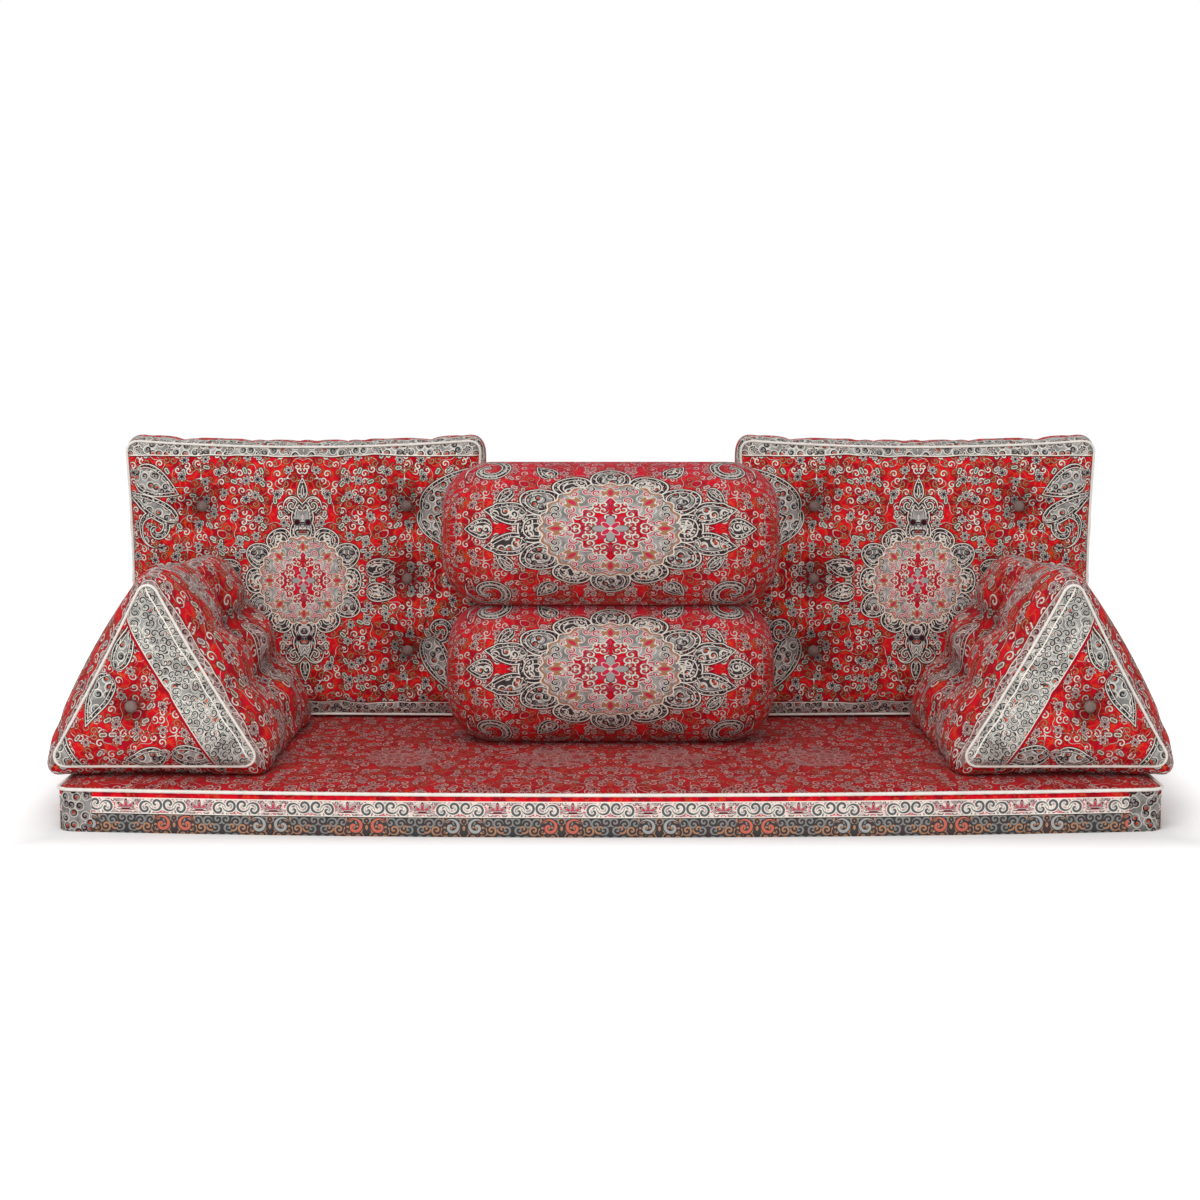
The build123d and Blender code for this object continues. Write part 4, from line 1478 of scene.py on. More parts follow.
@dataclass
class Workshop:
    """What every cushion is made with: the finishes and the growth trees."""

    cloths: Cloths
    piping: GrowthTree
    stitches: GrowthTree
    studs: GrowthTree

    def pipe(self, name: str, points: np.ndarray, radius: float) -> Object:
        """Run piping along a closed seam."""
        values = {"Finish": self.cloths["piping_cloth"], "Radius": radius}
        return self.piping.grow(name, loop_mesh(name, points), values)

    def sew(self, name: str, cover: Object, points: np.ndarray) -> Object:
        """Sew a row of stitches on a cover along a closed line near its surface.

        Args:
            name: Name of the stitches.
            cover: The cover.
            points: The line.

        Returns:
            The stitches.
        """
        laid = []
        for point in points:
            found, place, normal, _ = cover.closest_point_on_mesh(Vector(point))
            laid.append(place + normal * 0.2 * MM if found else Vector(point))
        return self.stitches.grow(name, loop_mesh(name, np.array(laid)), {"Finish": self.cloths["thread"]})

    def seam(self, cushion: str, kind: str, cover: Object, outline: Outline, height: float,
             place: Vector) -> dict[str, tuple[Object, str, Sequence[str]]]:
        """Pipe and stitch one seam of a left-hand cushion.

        Args:
            cushion: Which cushion, back or arm.
            kind: Which seam, front or rear.
            cover: Its cover.
            outline: The seam's outline.
            height: How far the seam lies in front of the rear one.
            place: Where the rear seam's foot stands.

        Returns:
            Piece, slot and nodes under each piece's key.
        """
        sides = len(outline.corners)
        lift = PIPING_LIFT if kind == "front" else -PIPING_LIFT
        line = upright(rim(outline.moved([-PIPING_SEAT] * sides), height + lift), place)
        piping = self.pipe(f"left_{cushion}_{kind}_piping_trim", line, PIPING_R)
        line = upright(rim(outline.moved([STITCH_INSET] * sides), height + 3 * lift), place)
        stitches = self.sew(f"left_{cushion}_{kind}_stitches", cover, line)
        return {f"{kind}_piping_trim": (piping, "piping", (f"{kind}_piping",)),
                f"{kind}_stitches": (stitches, "piping", ())}

    def stud(self, name: str, tufts: Sequence[Tuft], radius: float, height: float) -> Object:
        """Put a covered button in every tuft.

        Args:
            name: Name of the buttons.
            tufts: The tufts.
            radius: A button's radius.
            height: Height of its dome.

        Returns:
            The buttons.
        """
        source = placed("button_source", button_mesh("button_source", radius, height, 9))
        base = aimed_points(name, [tuft.at for tuft in tufts], [tuft.aim for tuft in tufts])
        made = self.studs.grow(name, base, {"Stud": source, "Finish": self.cloths["button_cloth"]})
        bpy.data.objects.remove(source)
        return made

    def smooth(self, piece: Object) -> Object:
        """Round a cover with one subdivision.

        Args:
            piece: The cover.

        Returns:
            The same cover.
        """
        modifier = piece.modifiers.new("round", "SUBSURF")
        modifier.levels = modifier.render_levels = 1
        return settled(piece)


def declare(piece: Object, body: str, nodes: Sequence[str],
            fill: float | None = None) -> None:
    """Attach a finished piece to the body that it moves with, and hide the construction's nodes that it
    stands for.

    Args:
        piece: The finished piece.
        body: The body that it moves with.
        nodes: The construction's nodes that it stands for.
        fill: How full a padded piece is, or None for any other piece; not used.
    """
    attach(piece, body)
    if nodes:
        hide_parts(*nodes)
    log.info("%s rides on %s with %d faces", piece.name, body, len(piece.data.polygons))


@dataclass(frozen=True)
class BackSizes:
    """Sizes of a back cushion."""

    width: float = 0.690
    height: float = 0.540
    band: float = 0.100
    belly: float = 9 * MM
    crown: float = 0.028
    rear_crown: float = 0.010
    reach: float = 0.190
    rear_reach: float = 0.150
    corner_r: float = 0.022
    draws: tuple[float, ...] = (0.002, 0.009, 0.013, 0.009)
    tuft_pitch: tuple[float, float] = (0.400, 0.143)
    tuft_depth: float = 0.024
    tuft_reach: float = 0.088
    rear_tuft_depth: float = 0.008
    rear_tuft_reach: float = 0.050


@dataclass(frozen=True)
class ArmSizes:
    """Sizes of a wedge arm cushion."""

    width: float = 0.368
    height: float = 0.330
    depth: float = 0.570
    peak_share: float = 0.48
    foot_belly: float = 0.022
    slope_belly: float = 0.011
    rear_peak_shift: float = 0.038
    rear_peak_drop: float = 0.028
    rear_spread: float = 0.013
    crown: float = 0.027
    rear_crown: float = 8 * MM
    reach_share: float = 0.78
    corner_r: float = 0.017
    side_draw: float = 4 * MM
    end_tuft: tuple[float, float] = (0.146, 0.104)
    end_depth: float = 0.020
    end_reach: float = 0.080
    rear_depth: float = 6 * MM
    rear_reach: float = 0.042
    slope_heights: tuple[float, float] = (0.118, 0.212)
    slope_place: float = 0.270
    slope_depth: float = 0.024
    slope_reach: float = 0.100
    furrow: float = 0.030
    furrow_width: float = 0.027
    puff: float = 0.028
    outer_puff_share: float = 0.80
    outer_belly_share: float = 1.55
    pinch_width: float = 0.080


PIPING_R = 2.5 * MM
MATTRESS_PIPING_R = 3 * MM
PIPING_SEAT = 1.7 * MM
PIPING_LIFT = 1.2 * MM
STITCH_INSET = 5 * MM
FOOT_SHARES = ((0, 0), (0.018, 0.62), (0.036, 0.86), (0.09, 0.96), (0.5, 1), (0.91, 0.96), (0.964, 0.86),
               (0.982, 0.62), (1, 0))
BELLY_SHARES = ((0, 0), (0.05, 0.5), (0.16, 0.9), (0.5, 1), (0.84, 0.9), (0.95, 0.5), (1, 0))


def upright(points: np.ndarray, place: Vector) -> np.ndarray:
    """Stand lying points (across, up, towards the front) at a place of the frame."""
    return np.stack([points[..., 0] + place.x, place.y - points[..., 2], points[..., 1] + place.z], axis=-1)


def rim(outline: Outline, height: float) -> np.ndarray:
    """The outline's points as one closed line at a height."""
    flat = np.vstack([side[:-1] for side in outline.sides()])
    return np.column_stack([flat, np.full(len(flat), height)])


@dataclass
class BackCushion:
    """A tufted back cushion and its mirror twin."""

    shop: Workshop
    sizes: BackSizes = BackSizes()
    stuffing: Stuffing = Stuffing(pressure=2.6, slack=0.025, cap=7 * MM)

    def outline(self) -> Outline:
        """The front seam's outline, x across from the middle and y up from the foot.

        Returns:
            The outline.
        """
        half, height = self.sizes.width / 2, self.sizes.height
        return Outline(((-half, 0), (half, 0), (half, height), (-half, height)), self.sizes.draws,
                       self.sizes.corner_r, (36, 29, 36, 29))

    def place(self) -> Vector:
        """Where the rear seam's foot stands.

        Returns:
            The place.
        """
        low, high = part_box("left_back_rear_panel")
        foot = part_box("left_back_front_panel")[0].z
        return Vector(((low.x + high.x) / 2, high.y - self.sizes.rear_crown, foot))

    def shell(self) -> Shell:
        """The cover as grids: front face, rear face and band.

        Returns:
            The cover.
        """
        sizes, outline, place = self.sizes, self.outline(), self.place()
        shell = Shell()
        middle = np.array([0, sizes.height / 2])
        for grid in outline.fan():
            distance = outline.distance(grid)
            front = np.dstack([grid, sizes.band + crowned(distance, sizes.crown, sizes.reach)])
            shell.add(upright(front, place), grid - middle, 0)
            rear = np.dstack([grid, -crowned(distance, sizes.rear_crown, sizes.rear_reach)])
            shell.add(upright(rear, place), grid - middle, 1, True)
        rows = np.linspace(0, 1, 13)
        levels = [outline.moved([-sizes.belly * 4 * row * (1 - row)] * 4).sides() for row in rows]
        start = 0.0
        for index, side in enumerate(outline.sides()):
            walked = start + walk(side)
            points = upright(wall(levels, index, rows * sizes.band), place)
            shell.add(points, crossed(walked, sizes.band * (1 - rows)), 2)
            start = walked[-1]
        return shell

    def tufts(self) -> list[Tuft]:
        """The six tufts of the front and the six shallow ones behind them.

        Returns:
            The tufts.
        """
        sizes, place = self.sizes, self.place()
        made = []
        for column in (-0.5, 0.5):
            for row in (-1, 0, 1):
                x = place.x + column * sizes.tuft_pitch[0]
                z = place.z + sizes.height / 2 + row * sizes.tuft_pitch[1]
                front = place.y - sizes.band - sizes.crown + sizes.tuft_depth
                made.append(Tuft((x, front, z), (0, -1, 0), sizes.tuft_depth, sizes.tuft_reach))
                rear = place.y + sizes.rear_crown - sizes.rear_tuft_depth
                made.append(Tuft((x, rear, z), (0, 1, 0), sizes.rear_tuft_depth, sizes.rear_tuft_reach))
        return made

    def build(self) -> None:
        """Build, stuff, trim and dress both back cushions."""
        sizes, place, outline, tufts = self.sizes, self.place(), self.outline(), self.tufts()
        mesh = self.shell().mesh("left_back_cover")
        seams = [upright(rim(outline, height), place) for height in (0, sizes.band)]
        mesh_points = coordinates(mesh)
        held = held_by(mesh_points, seams, tufts)
        # Painted shade in the tuft dimples and their folds, kept on the cover for its cloth.
        store_painted_shade(mesh, sunk(mesh_points, tufts))
        for tuft in tufts:
            mesh_points = tuft.pull(mesh_points)
        move_points(mesh, mesh_points)
        self.stuffing.fill(mesh, held)
        cover = placed("left_back_cover", mesh)
        for name in ("back_face_cloth", "field_cloth", "band_cloth"):
            mesh.materials.append(self.shop.cloths[name])
        self.shop.smooth(cover)
        pieces = {"cover": (cover, "back_cloth", ("front_panel", "rear_panel", "boxing", "filling"))}
        for kind, height in (("front", sizes.band), ("rear", 0)):
            pieces.update(self.shop.seam("back", kind, cover, outline, height, place))
        studs = self.shop.stud("left_back_buttons", tufts, 11.5 * MM, 6 * MM)
        pieces["buttons"] = (studs, "button_cloth", ("tuft_buttons",))
        finish_pair("back", pieces)


def store_painted_shade(mesh: Mesh, values: np.ndarray) -> None:
    """Keep how deep each point of a cover is sunk, as shade painted into its cloth."""
    layer = mesh.attributes.new(PAINTED_SHADE_ATTRIBUTE, "FLOAT", "POINT")
    layer.data.foreach_set("value", np.clip(values, 0, 1))


def sunk(points: np.ndarray, tufts: Sequence[Tuft]) -> np.ndarray:
    """How deep the tufts sink each point, with their folds; it also sets the shade painted there."""
    return np.max([tuft.shade(points) for tuft in tufts], axis=0)


def held_by(points: np.ndarray, seams: Sequence[np.ndarray], tufts: Sequence[Tuft]) -> np.ndarray:
    """How firmly seams and tufts hold each point of a cover.

    Args:
        points: Points of the cover.
        seams: Points of the seams.
        tufts: The tufts.

    Returns:
        A share for each point.
    """
    held = np.zeros(len(points))
    for seam in seams:
        known = {tuple(np.round(point, 5)) for point in seam}
        held[[tuple(np.round(point, 5)) in known for point in points]] = 1
    for tuft in tufts:
        surface = Tuft(tuple(np.array(tuft.at) + np.array(tuft.aim) * tuft.depth), tuft.aim, 0, tuft.reach)
        held[surface.holds(points)] = 1
    return held


def finish_pair(kind: str, pieces: dict[str, tuple[Object, str, Sequence[str]]]) -> None:
    """Declare a left-hand cushion's pieces and make their right-hand twins.

    Args:
        kind: Which cushion, back or arm.
        pieces: Piece, slot and nodes under each piece's key.
    """
    for key, (piece, slot, nodes) in pieces.items():
        twin = mirrored(piece, f"right_{kind}_{key}")
        for side, made in (("left", piece), ("right", twin)):
            named = [f"{side}_{kind}_{node}" for node in nodes]
            declare(made, f"{side}_{kind}", named, 0.75 if key == "cover" else None)


@dataclass
class ArmCushion:
    """A tufted wedge arm cushion and its mirror twin."""

    shop: Workshop
    sizes: ArmSizes = ArmSizes()
    stuffing: Stuffing = Stuffing(pressure=2.6, slack=0.03, cap=8 * MM)

    def outline(self, along: float, slope_belly: float, foot_belly: float, puff: float = 0.0) -> Outline:
        """The section at a share of the depth from the rear, x from the outer foot and y up.

        Args:
            along: Share of the depth.
            slope_belly: How far the slopes stand out.
            foot_belly: How far the foot hangs.
            puff: How much more the slopes' middles stand out.

        Returns:
            The section.
        """
        sizes, rear = self.sizes, 1 - along
        corners = ((0, 0), (sizes.width + sizes.rear_spread * rear, 0),
                   (sizes.width * sizes.peak_share + sizes.rear_peak_shift * rear,
                    sizes.height - sizes.rear_peak_drop * rear))
        draws = (0, sizes.side_draw - puff, sizes.side_draw - puff * sizes.outer_puff_share)
        plain = Outline(corners, draws, sizes.corner_r, (20, 20, 20))
        moved = plain.moved((-foot_belly, -slope_belly, -slope_belly * sizes.outer_belly_share))
        return Outline(moved.corners, draws, sizes.corner_r, plain.counts)

    def place(self) -> Vector:
        """Where the rear seam's outer foot stands."""
        front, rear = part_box("left_arm_front_panel"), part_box("left_arm_rear_panel")
        return Vector((front[0].x - self.foot_gap(), rear[1].y - self.sizes.rear_crown, front[0].z))

    def foot_gap(self) -> float:
        """How far the rounded outer foot corner's extreme lies inside the sharp corner."""
        return float(np.min(np.vstack(self.outline(1, 0, 0).sides())[:, 0]))

    def tufts(self) -> list[Tuft]:
        """The end tufts and the two through each slope.

        Returns:
            The tufts.
        """
        sizes, place = self.sizes, self.place()
        across, up = sizes.end_tuft
        front_y = place.y - sizes.depth - sizes.crown + sizes.end_depth
        rear_y = place.y + sizes.rear_crown - sizes.rear_depth
        x, z = place.x + across, place.z + up
        made = [Tuft((x, front_y, z), (0, -1, 0), sizes.end_depth, sizes.end_reach),
                Tuft((x, rear_y, z), (0, 1, 0), sizes.rear_depth, sizes.rear_reach)]
        middle = self.outline(0.5, sizes.slope_belly, sizes.foot_belly)
        corners = [np.array(corner) for corner in middle.corners]
        for height in sizes.slope_heights:
            for foot, inwards in ((corners[0], -1), (corners[1], 1)):
                slope = (corners[2] - foot) / np.linalg.norm(corners[2] - foot)
                point = foot + slope * ((height - foot[1]) / slope[1])
                normal = np.array([slope[1], -slope[0]]) * inwards
                seat = point - normal * sizes.slope_depth
                at = (place.x + seat[0], place.y - sizes.slope_place, place.z + seat[1])
                made.append(Tuft(at, (normal[0], 0, normal[1]), sizes.slope_depth, sizes.slope_reach, folds=5,
                                 crease=9 * MM))
        return made

    def furrows(self, points: np.ndarray, tufts: Sequence[Tuft]) -> tuple[np.ndarray, np.ndarray]:
        """The long folds that run from each inner slope tuft to both seams, and part the slope into rolls.

        Args:
            points: Points of the cover before its tufts are pulled in.
            tufts: All tufts of the wedge.

        Returns:
            The points with the folds laid in, and the shade painted on each point by how deep it lies in a
            fold, from 0 to 1.
        """
        sizes, shade = self.sizes, np.zeros(len(points))
        step = np.zeros_like(points)
        for tuft in tufts:
            if tuft.aim[0] <= 0:
                continue
            aim = np.array(tuft.aim)
            gap = points - np.array(tuft.at) - aim * tuft.depth
            sway = 5 * MM * np.sin(points[:, 1] * 31 + tuft.at[2] * 60)
            across = gap @ np.cross(aim, (0.0, 1.0, 0.0)) + sway
            rear = np.clip(gap[:, 1] / sizes.slope_place, 0, 1)
            front = np.clip(-gap[:, 1] / (sizes.depth - sizes.slope_place), 0, 1)
            fade = (1 - rear ** 5) * (1 - 0.15 * rear) * (1 - front) ** 1.3
            share = np.exp(-(across / sizes.furrow_width) ** 2) * fade * (np.abs(gap @ aim) < 0.05)
            step -= np.outer(sizes.furrow * share, aim)
            # Painted shade along the bottom of each furrow.
            shade = np.maximum(shade, share ** 3 * 0.75)
        return points + step, shade

    def shell(self) -> Shell:
        """The cover as grids: front face, rear face and the wrap round the slopes and foot.

        Returns:
            The cover.
        """
        sizes, place = self.sizes, self.place()
        shell = Shell()
        for along, rise, facing in ((1, sizes.crown, 1), (0, sizes.rear_crown, -1)):
            outline = self.outline(along, 0, 0)
            points = np.array(outline.corners)
            edges = np.linalg.norm(points - np.roll(points, -1, axis=0), axis=1)
            x, y = points[:, 0], points[:, 1]
            area = 0.5 * abs(np.dot(x, np.roll(y, -1)) - np.dot(y, np.roll(x, -1)))
            reach = sizes.reach_share * 2 * area / edges.sum()
            for grid in outline.fan():
                height = sizes.depth * along + facing * crowned(outline.distance(grid), rise, reach)
                shell.add(upright(np.dstack([grid, height]), place), grid, 0 if along else 1, not along)
        shares = np.linspace(0, 1, 57)
        given = np.array(BELLY_SHARES)
        bellies = np.interp(shares, given[:, 0], given[:, 1])
        foot = np.array(FOOT_SHARES)
        feet = sizes.foot_belly * np.interp(shares, foot[:, 0], foot[:, 1])
        pinch = np.exp(-((shares - sizes.slope_place / sizes.depth) / sizes.pinch_width) ** 2)
        puffs = sizes.puff * bellies * (1 - 0.9 * pinch)
        slopes = sizes.slope_belly * bellies * (1 - 0.35 * pinch)
        levels = [self.outline(share, slope, low, puff).sides()
                  for share, low, slope, puff in zip(shares, feet, slopes, puffs)]
        for index in range(3):
            walked = walk(levels[-1][index])
            if index == 1:
                walked = walked[-1] - walked
            elif index == 2:
                walked = -walked
            points = upright(wall(levels, index, shares * sizes.depth), place)
            shell.add(points, crossed(walked, sizes.depth * (1 - shares)), 1 if index == 0 else 2)
        return shell

    def build(self) -> None:
        """Build, stuff, trim and dress both wedges."""
        sizes, place, tufts = self.sizes, self.place(), self.tufts()
        mesh = self.shell().mesh("left_arm_cover")
        points = coordinates(mesh)
        seams = [upright(rim(self.outline(along, 0, 0), along * sizes.depth), place) for along in (0, 1)]
        held = held_by(points, seams, tufts)
        folded, shade = self.furrows(points, tufts)
        # Painted shade in the tuft dimples, their folds and the furrows, kept on the cover for its cloth.
        store_painted_shade(mesh, np.maximum(sunk(points, tufts), shade))
        pulled = points
        for tuft in tufts:
            pulled = tuft.pull(pulled)
        points = pulled + (folded - points) * (1 - sunk(points, tufts))[:, None] ** 2
        move_points(mesh, points)
        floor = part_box("left_arm_wrap_panel")[0].z
        floor = min(floor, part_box("left_arm_base_panel")[0].z)
        self.stuffing.fill(mesh, held)
        points = coordinates(mesh)
        points[:, 2] = np.maximum(points[:, 2], floor)
        move_points(mesh, points)
        cover = placed("left_arm_cover", mesh)
        for name in ("arm_face_cloth", "field_cloth", "arm_wrap_cloth"):
            mesh.materials.append(self.shop.cloths[name])
        self.shop.smooth(cover)
        nodes = ("front_panel", "rear_panel", "wrap_panel", "base_panel", "filling")
        pieces = {"cover": (cover, "arm_cloth", nodes)}
        for kind, along in (("front", 1), ("rear", 0)):
            outline = self.outline(along, 0, 0)
            pieces.update(self.shop.seam("arm", kind, cover, outline, along * sizes.depth, place))
        studs = self.shop.stud("left_arm_buttons", tufts, 11.5 * MM, 6 * MM)
        pieces["buttons"] = (studs, "button_cloth", ("tuft_buttons",))
        finish_pair("arm", pieces)


@dataclass(frozen=True)
class BolsterSizes:
    """Sizes of a bolster."""

    length: float
    radius: float = 0.134
    press: float = 5.5 * MM
    shoulder: float = 0.096
    drop: float = 0.076
    dip: float = 0.010
    button_r: float = 0.022
    pleats: int = 22
    tilt: float = 10.0


@dataclass
class Bolster:
    """A round bolster with gathered ends."""

    shop: Workshop
    level: str
    sizes: BolsterSizes
    pressed_above: bool
    stuffing: Stuffing = Stuffing(pressure=1.5, slack=0.012, cap=4 * MM)

    def centre(self) -> Vector:
        """The middle of the bolster's axis."""
        low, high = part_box(f"{self.level}_bolster_cover")
        return Vector((0, (low.y + high.y) / 2, low.z + self.sizes.radius - self.sizes.press))

    def profile(self) -> tuple[np.ndarray, np.ndarray]:
        """Place along the axis and radius of one half's profile, from the middle to the button.

        Returns:
            Places and radii.
        """
        sizes = self.sizes
        straight = sizes.length / 2 - sizes.shoulder
        arc_r = (sizes.shoulder ** 2 + sizes.drop ** 2) / (2 * sizes.drop)
        turns = np.linspace(0, math.asin(sizes.shoulder / arc_r), 15)
        x = np.concatenate([np.linspace(0, straight, 24)[:-1], straight + arc_r * np.sin(turns)])
        r = np.concatenate([np.full(23, sizes.radius), sizes.radius - arc_r * (1 - np.cos(turns))])
        inner = np.linspace(0, 1, 9)[1:]
        rim_r = sizes.radius - sizes.drop
        x = np.concatenate([x, sizes.length / 2 - sizes.dip * inner])
        r = np.concatenate([r, rim_r + (0.006 - rim_r) * inner])
        return x, r

    def shell(self) -> Shell:
        """The cover as one grid round the axis, its cloth map centred on the side that faces the front.

        Returns:
            The cover.
        """
        sizes, centre = self.sizes, self.centre()
        half_x, half_r = self.profile()
        x = np.concatenate([-half_x[::-1], half_x[1:]])
        radius = np.concatenate([half_r[::-1], half_r[1:]])
        walked = np.concatenate([[0], np.cumsum(np.hypot(np.diff(x), np.diff(radius)))])
        walked = walked - walked[-1] / 2
        around = np.linspace(-math.pi, math.pi, 113)
        gather = np.clip((sizes.radius - radius) / sizes.drop, 0, 1) * np.clip(radius / 0.03, 0, 1)
        wave = 1 + np.outer(gather, 0.035 * np.cos(sizes.pleats * around) + 0.012 * np.cos(7 * around + 1))
        reach = radius[:, None] * wave
        tilt = math.radians(sizes.tilt)
        points = np.stack([
            np.repeat(x[:, None], len(around), axis=1),
            centre.y - reach * np.cos(around + tilt),
            centre.z + reach * np.sin(around + tilt)], axis=-1)
        cloth = crossed(walked, around * sizes.radius)
        shell = Shell()
        shell.add(points, cloth, 0, False)
        for end, facing in ((0, True), (-1, False)):
            ring = points[end]
            middle = np.repeat(ring.mean(axis=0)[None], len(ring), axis=0)
            grid = np.stack([middle, ring] if facing else [ring, middle])
            shell.add(grid, np.stack([cloth[end], cloth[end]]), 0, False)
        return shell

    def build(self) -> None:
        """Build, stuff, trim and dress the bolster."""
        sizes, centre = self.sizes, self.centre()
        name = f"{self.level}_bolster"
        mesh = self.shell().mesh(f"{name}_cover_cloth")
        points = coordinates(mesh)
        held = (np.abs(points[:, 0]) > sizes.length / 2 - sizes.dip - 2 * MM).astype(float)
        held *= np.hypot(points[:, 1] - centre.y, points[:, 2] - centre.z) < sizes.button_r
        self.stuffing.fill(mesh, held)
        points = coordinates(mesh)
        flat = sizes.radius - sizes.press
        points[:, 2] = np.maximum(points[:, 2], centre.z - flat)
        if self.pressed_above:
            points[:, 2] = np.minimum(points[:, 2], centre.z + flat)
        move_points(mesh, points)
        cover = placed(f"{name}_cover_cloth", mesh)
        mesh.materials.append(self.shop.cloths["bolster_cloth"])
        self.shop.smooth(cover)
        declare(cover, name, [f"{name}_cover", f"{name}_filling"], 0.85)
        seats = []
        for side in (-1, 1):
            low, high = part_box(f"{name}_end_buttons")
            x = (high.x - 9 * MM) * side
            seats.append(Tuft((x, centre.y, centre.z), (side, 0, 0), 0.01, 0.03))
        studs = self.shop.stud(f"{name}_end_studs", seats, sizes.button_r, 9 * MM)
        declare(studs, name, [f"{name}_end_buttons"])


@dataclass(frozen=True)
class MattressSizes:
    """Sizes of the mattress."""

    length: float = 1.890
    depth: float = 0.784
    band: float = 0.073
    crown: float = 7 * MM
    reach: float = 0.060
    corner_r: float = 0.026
    draws: tuple[float, ...] = (-0.050, 0.005, 0.0, 0.005)
    zip_length: float = 1.500
    zip_opening: float = 0.016
    zip_recess: float = 3.5 * MM
    tooth_pitch: float = 0.010


@dataclass
class Mattress:
    """The seat mattress with its piping and the zip in its rear band."""

    shop: Workshop
    sizes: MattressSizes = MattressSizes()

    def outline(self) -> Outline:
        """The outline of the top and bottom panels.

        Returns:
            The outline.
        """
        half, deep = self.sizes.length / 2, self.sizes.depth / 2
        return Outline(((-half, -deep), (half, -deep), (half, deep), (-half, deep)), self.sizes.draws,
                       self.sizes.corner_r, (63, 27, 63, 27))

    def shell(self) -> Shell:
        """The cover as grids: top, underside and band.

        Returns:
            The cover.
        """
        sizes, outline = self.sizes, self.outline()
        shell = Shell()
        for grid in outline.fan():
            height = sizes.band + crowned(outline.distance(grid), sizes.crown, sizes.reach)
            shell.add(np.dstack([grid, height]), grid, 0)
            shell.add(np.dstack([grid, np.zeros(grid.shape[:2])]), grid, 2, True)
        zip_z = (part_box("mattress_zip_tapes")[0].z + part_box("mattress_zip_tapes")[1].z) / 2
        low, high = zip_z - sizes.zip_opening / 2, zip_z + sizes.zip_opening / 2
        rows = np.concatenate([np.linspace(0, low, 4), [low + MM], [zip_z], [high - MM],
                               np.linspace(high, sizes.band, 4)])
        sides = outline.sides()
        for index, side in enumerate(sides):
            walked = walk(side)
            walked = walked - walked[-1] / 2
            points = wall([sides] * len(rows), index, rows)
            if index == 2:
                inside = (rows > low + MM / 2) & (rows < high - MM / 2)
                zipped = np.abs(points[:, :, 0]) < sizes.zip_length / 2 + 5 * MM
                points[:, :, 1] -= np.where(zipped & inside[None], sizes.zip_recess, 0)
            shell.add(points, crossed(walked, rows), 1)
        return shell

    def build(self) -> None:
        """Build and dress the mattress and its zip."""
        sizes = self.sizes
        mesh = self.shell().mesh("mattress_cover")
        points = coordinates(mesh)
        across, along = points[:, 0], points[:, 1]
        soft = 1.2 * MM * np.sin(across * 23 + 2 * np.sin(along * 17)) * np.sin(along * 19)
        points[:, 2] += np.where(points[:, 2] > sizes.band + 3 * MM, np.minimum(soft, 0), 0)
        move_points(mesh, points)
        cover = placed("mattress_cover", mesh)
        for name in ("seat_cloth", "seat_band_cloth", "under_cloth"):
            mesh.materials.append(self.shop.cloths[name])
        nodes = ["mattress_top_panel", "mattress_boxing", "mattress_bottom_panel", "mattress_foam_slab",
                 "mattress_wadding"]
        declare(cover, "mattress", nodes, 0.9)
        outline = self.outline()
        line = rim(outline.moved([-PIPING_SEAT] * 4), sizes.band)
        piping = self.shop.pipe("mattress_piping_trim", line, MATTRESS_PIPING_R)
        declare(piping, "mattress", ["mattress_top_piping"])
        line = rim(outline.moved([STITCH_INSET] * 4), sizes.band + 4 * MM)
        declare(self.shop.sew("mattress_seam_stitches", cover, line), "mattress", [])
        self.zip()

    def zip(self) -> None:
        """Grow the chain of teeth."""
        sizes = self.sizes
        low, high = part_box("mattress_zip_teeth")
        count = round(sizes.zip_length / sizes.tooth_pitch)
        source = placed("tooth_source", tooth_mesh("tooth_source", high - low))
        places = [((index - (count - 1) / 2) * sizes.tooth_pitch, (low.y + high.y) / 2, (low.z + high.z) / 2)
                  for index in range(count)]
        base = aimed_points("mattress_zip_chain", places, [(0.0, 0.0, 1.0)] * count)
        chain = self.shop.studs.grow("mattress_zip_chain", base,
                                     {"Stud": source, "Finish": self.shop.cloths["zip_teeth"]})
        bpy.data.objects.remove(source)
        declare(chain, "mattress", ["mattress_zip_teeth"])


def tooth_mesh(name: str, size: Vector) -> Mesh:
    """One zip tooth: a rounded block with a waist.

    Args:
        name: Name of the mesh.
        size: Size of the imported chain.

    Returns:
        The mesh.
    """
    x = np.array([-3, -2.2, 0, 2.2, 3]) * MM
    waist = np.array([0.75, 1, 0.82, 1, 0.75])
    points, faces = [], []
    for place, share in zip(x, waist):
        for y, z in ((-1, -1), (1, -1), (1, 1), (-1, 1)):
            points.append((place, y * size.y / 2 * share, z * size.z / 2 * share))
    for row in range(len(x) - 1):
        base = 4 * row
        faces += [(base + k, base + (k + 1) % 4, base + 4 + (k + 1) % 4, base + 4 + k) for k in range(4)]
    faces += [(3, 2, 1, 0), (16, 17, 18, 19)]
    made = bpy.data.meshes.new(name)
    made.from_pydata(points, [], faces)
    return made


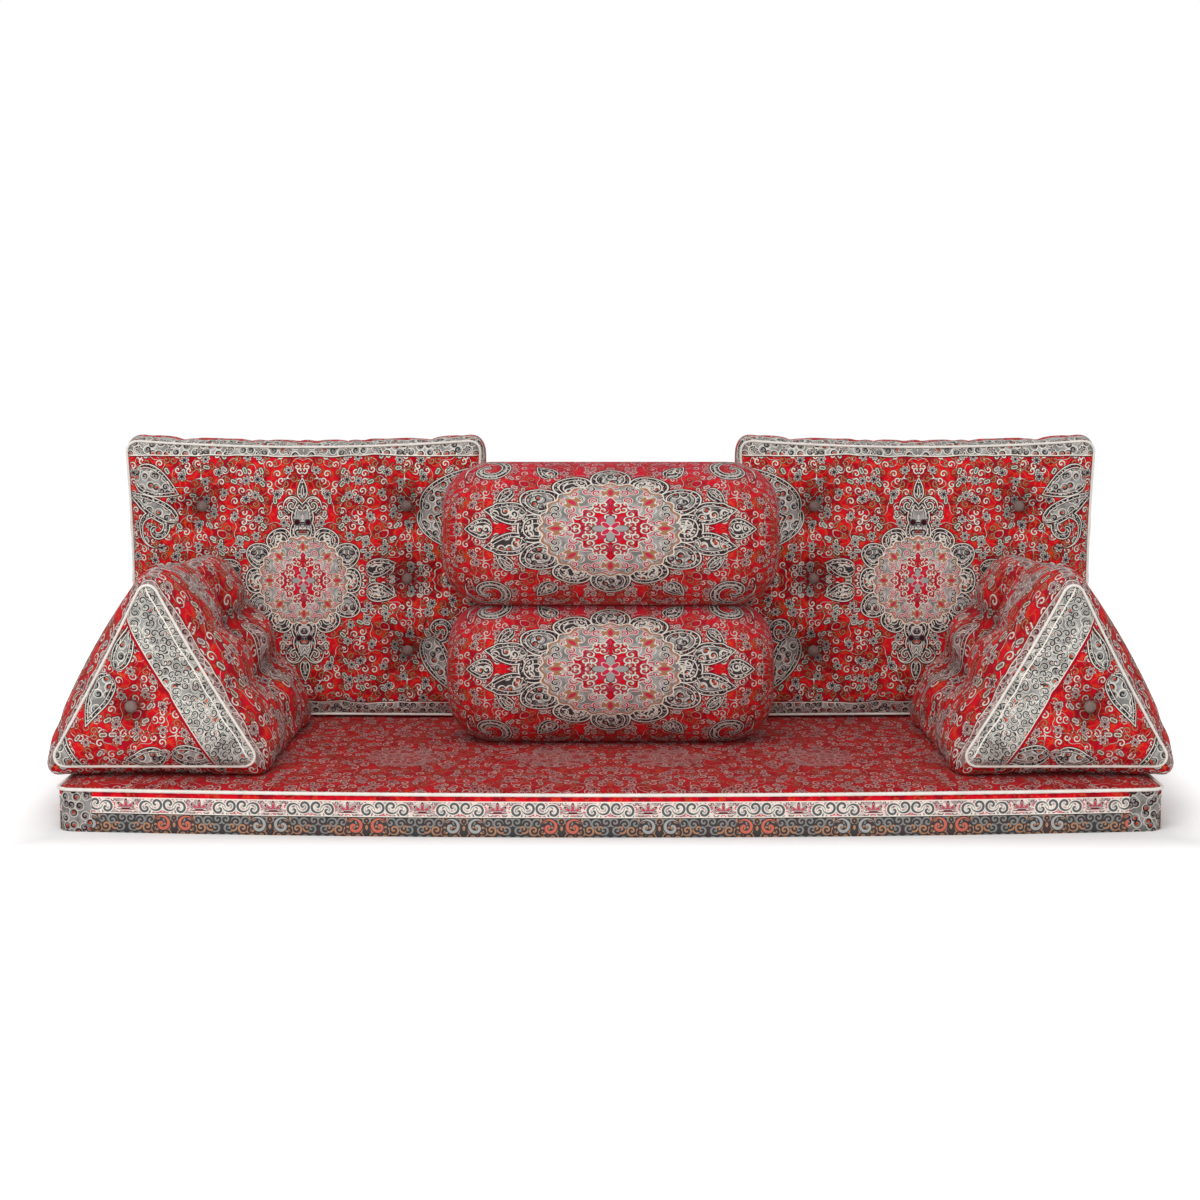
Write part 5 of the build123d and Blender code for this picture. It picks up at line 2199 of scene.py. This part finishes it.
@dataclass(frozen=True)
class Studio:
    """The camera, floor and soft light, with the lamps' power in watts."""

    eye: tuple[float, float, float] = (0.0, -4.4125, 0.8982)
    pitch: float = 0.1238
    lens: float = 72.02
    shift_x: float = -0.00875
    ambient: float = 0.60
    key_power: float = 58.0
    fill_power: float = 44.0
    lamp_size: float = 2.6
    glow: float = 0.47

    def camera(self) -> None:
        """Set the camera at the photograph's viewing angle."""
        data = bpy.data.cameras.new("camera")
        data.lens, data.sensor_width, data.shift_x = self.lens, 36.0, self.shift_x
        made = bpy.data.objects.new("camera", data)
        made.location = self.eye
        made.rotation_euler = (math.pi / 2 - self.pitch, 0, 0)
        bpy.context.scene.collection.objects.link(made)
        bpy.context.scene.camera = made

    def floor(self) -> None:
        """Lay the white floor that keeps the sofa's shadow, with more shadow painted into its glow round the
        sofa's footprint.
        """
        mesh = bpy.data.meshes.new("floor")
        mesh.from_pydata([(-20, -10, 0), (20, -10, 0), (20, 30, 0), (-20, 30, 0)], [], [(0, 1, 2, 3)])
        floor = placed("floor", mesh)
        paint = bpy.data.materials.new("floor_white")
        paint.use_nodes = True
        board = Board(paint.node_tree)
        matt = board.out("ShaderNodeBsdfDiffuse", None, {"Color": (0.92, 0.92, 0.92, 1)})
        east, north, _ = board.parts(board.out("ShaderNodeTexCoord", port="Object"))
        # Painted shadow: the floor's glow fades to near black close to the mattress's footprint, so a soft
        # contact shadow shows there.
        gap = (abs(east) - 0.945).most(abs(north + 0.025) - 0.42)
        white = board.mix((0.05, 0.05, 0.05, 1), (1, 1, 1, 1), gap.over(0.08, 0.16))
        glow = board.out("ShaderNodeEmission", None, {"Color": white, "Strength": board.seen() * self.glow})
        both = board.out("ShaderNodeAddShader", None, {0: matt, 1: glow})
        board.node("ShaderNodeOutputMaterial", None, {"Surface": both})
        mesh.materials.append(paint)

    def light(self) -> None:
        """Light the sofa softly from all round, with a broad key from above the front."""
        scene = bpy.context.scene
        world = bpy.data.worlds.new("studio")
        scene.world = world
        world.use_nodes = True
        board = Board(world.node_tree)
        strength = self.ambient + board.seen() * (1 - self.ambient)
        sky = board.out("ShaderNodeBackground", None, {"Color": (1, 1, 1, 1), "Strength": strength})
        board.node("ShaderNodeOutputWorld", None, {"Surface": sky})
        lamps = (("key", self.key_power, (-0.9, -2.6, 3.0)), ("fill", self.fill_power, (0.4, -4.2, 0.45)))
        for name, power, place in lamps:
            data = bpy.data.lights.new(name, "AREA")
            data.energy, data.size = power, self.lamp_size
            lamp = bpy.data.objects.new(name, data)
            lamp.location = place
            aim = Vector((0, 0, 0.2)) - lamp.location
            lamp.rotation_euler = aim.to_track_quat("-Z", "Y").to_euler()
            scene.collection.objects.link(lamp)
        scene.view_settings.view_transform = "Standard"


def dress_small_parts(frame: dict, cloths: Cloths) -> None:
    """Give the construction's small parts that stay in view their own finish.

    Args:
        frame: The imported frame.
        cloths: The finishes.
    """
    finishes = {"twines": "twine", "gather_cords": "twine", "zip_tapes": "zip_tape",
                "zip_slider": "zip_metal", "zip_pull": "zip_metal"}
    for name, node in frame["nodes"].items():
        for ending, finish in finishes.items():
            if name.endswith(ending):
                node.data.materials.clear()
                node.data.materials.append(cloths[finish])


def main() -> None:
    """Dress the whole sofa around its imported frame."""
    logging.basicConfig(level=logging.INFO, format="%(message)s")
    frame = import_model()
    cloths = Cloths()
    shop = Workshop(cloths, piping_tree(), stitch_tree(), stud_tree())
    Mattress(shop).build()
    BackCushion(shop).build()
    ArmCushion(shop).build()
    Bolster(shop, "lower", BolsterSizes(0.606), True).build()
    Bolster(shop, "upper", BolsterSizes(0.622), False).build()
    dress_small_parts(frame, cloths)
    studio = Studio()
    studio.floor()
    studio.light()
    studio.camera()


if __name__ == "__main__":
    main()
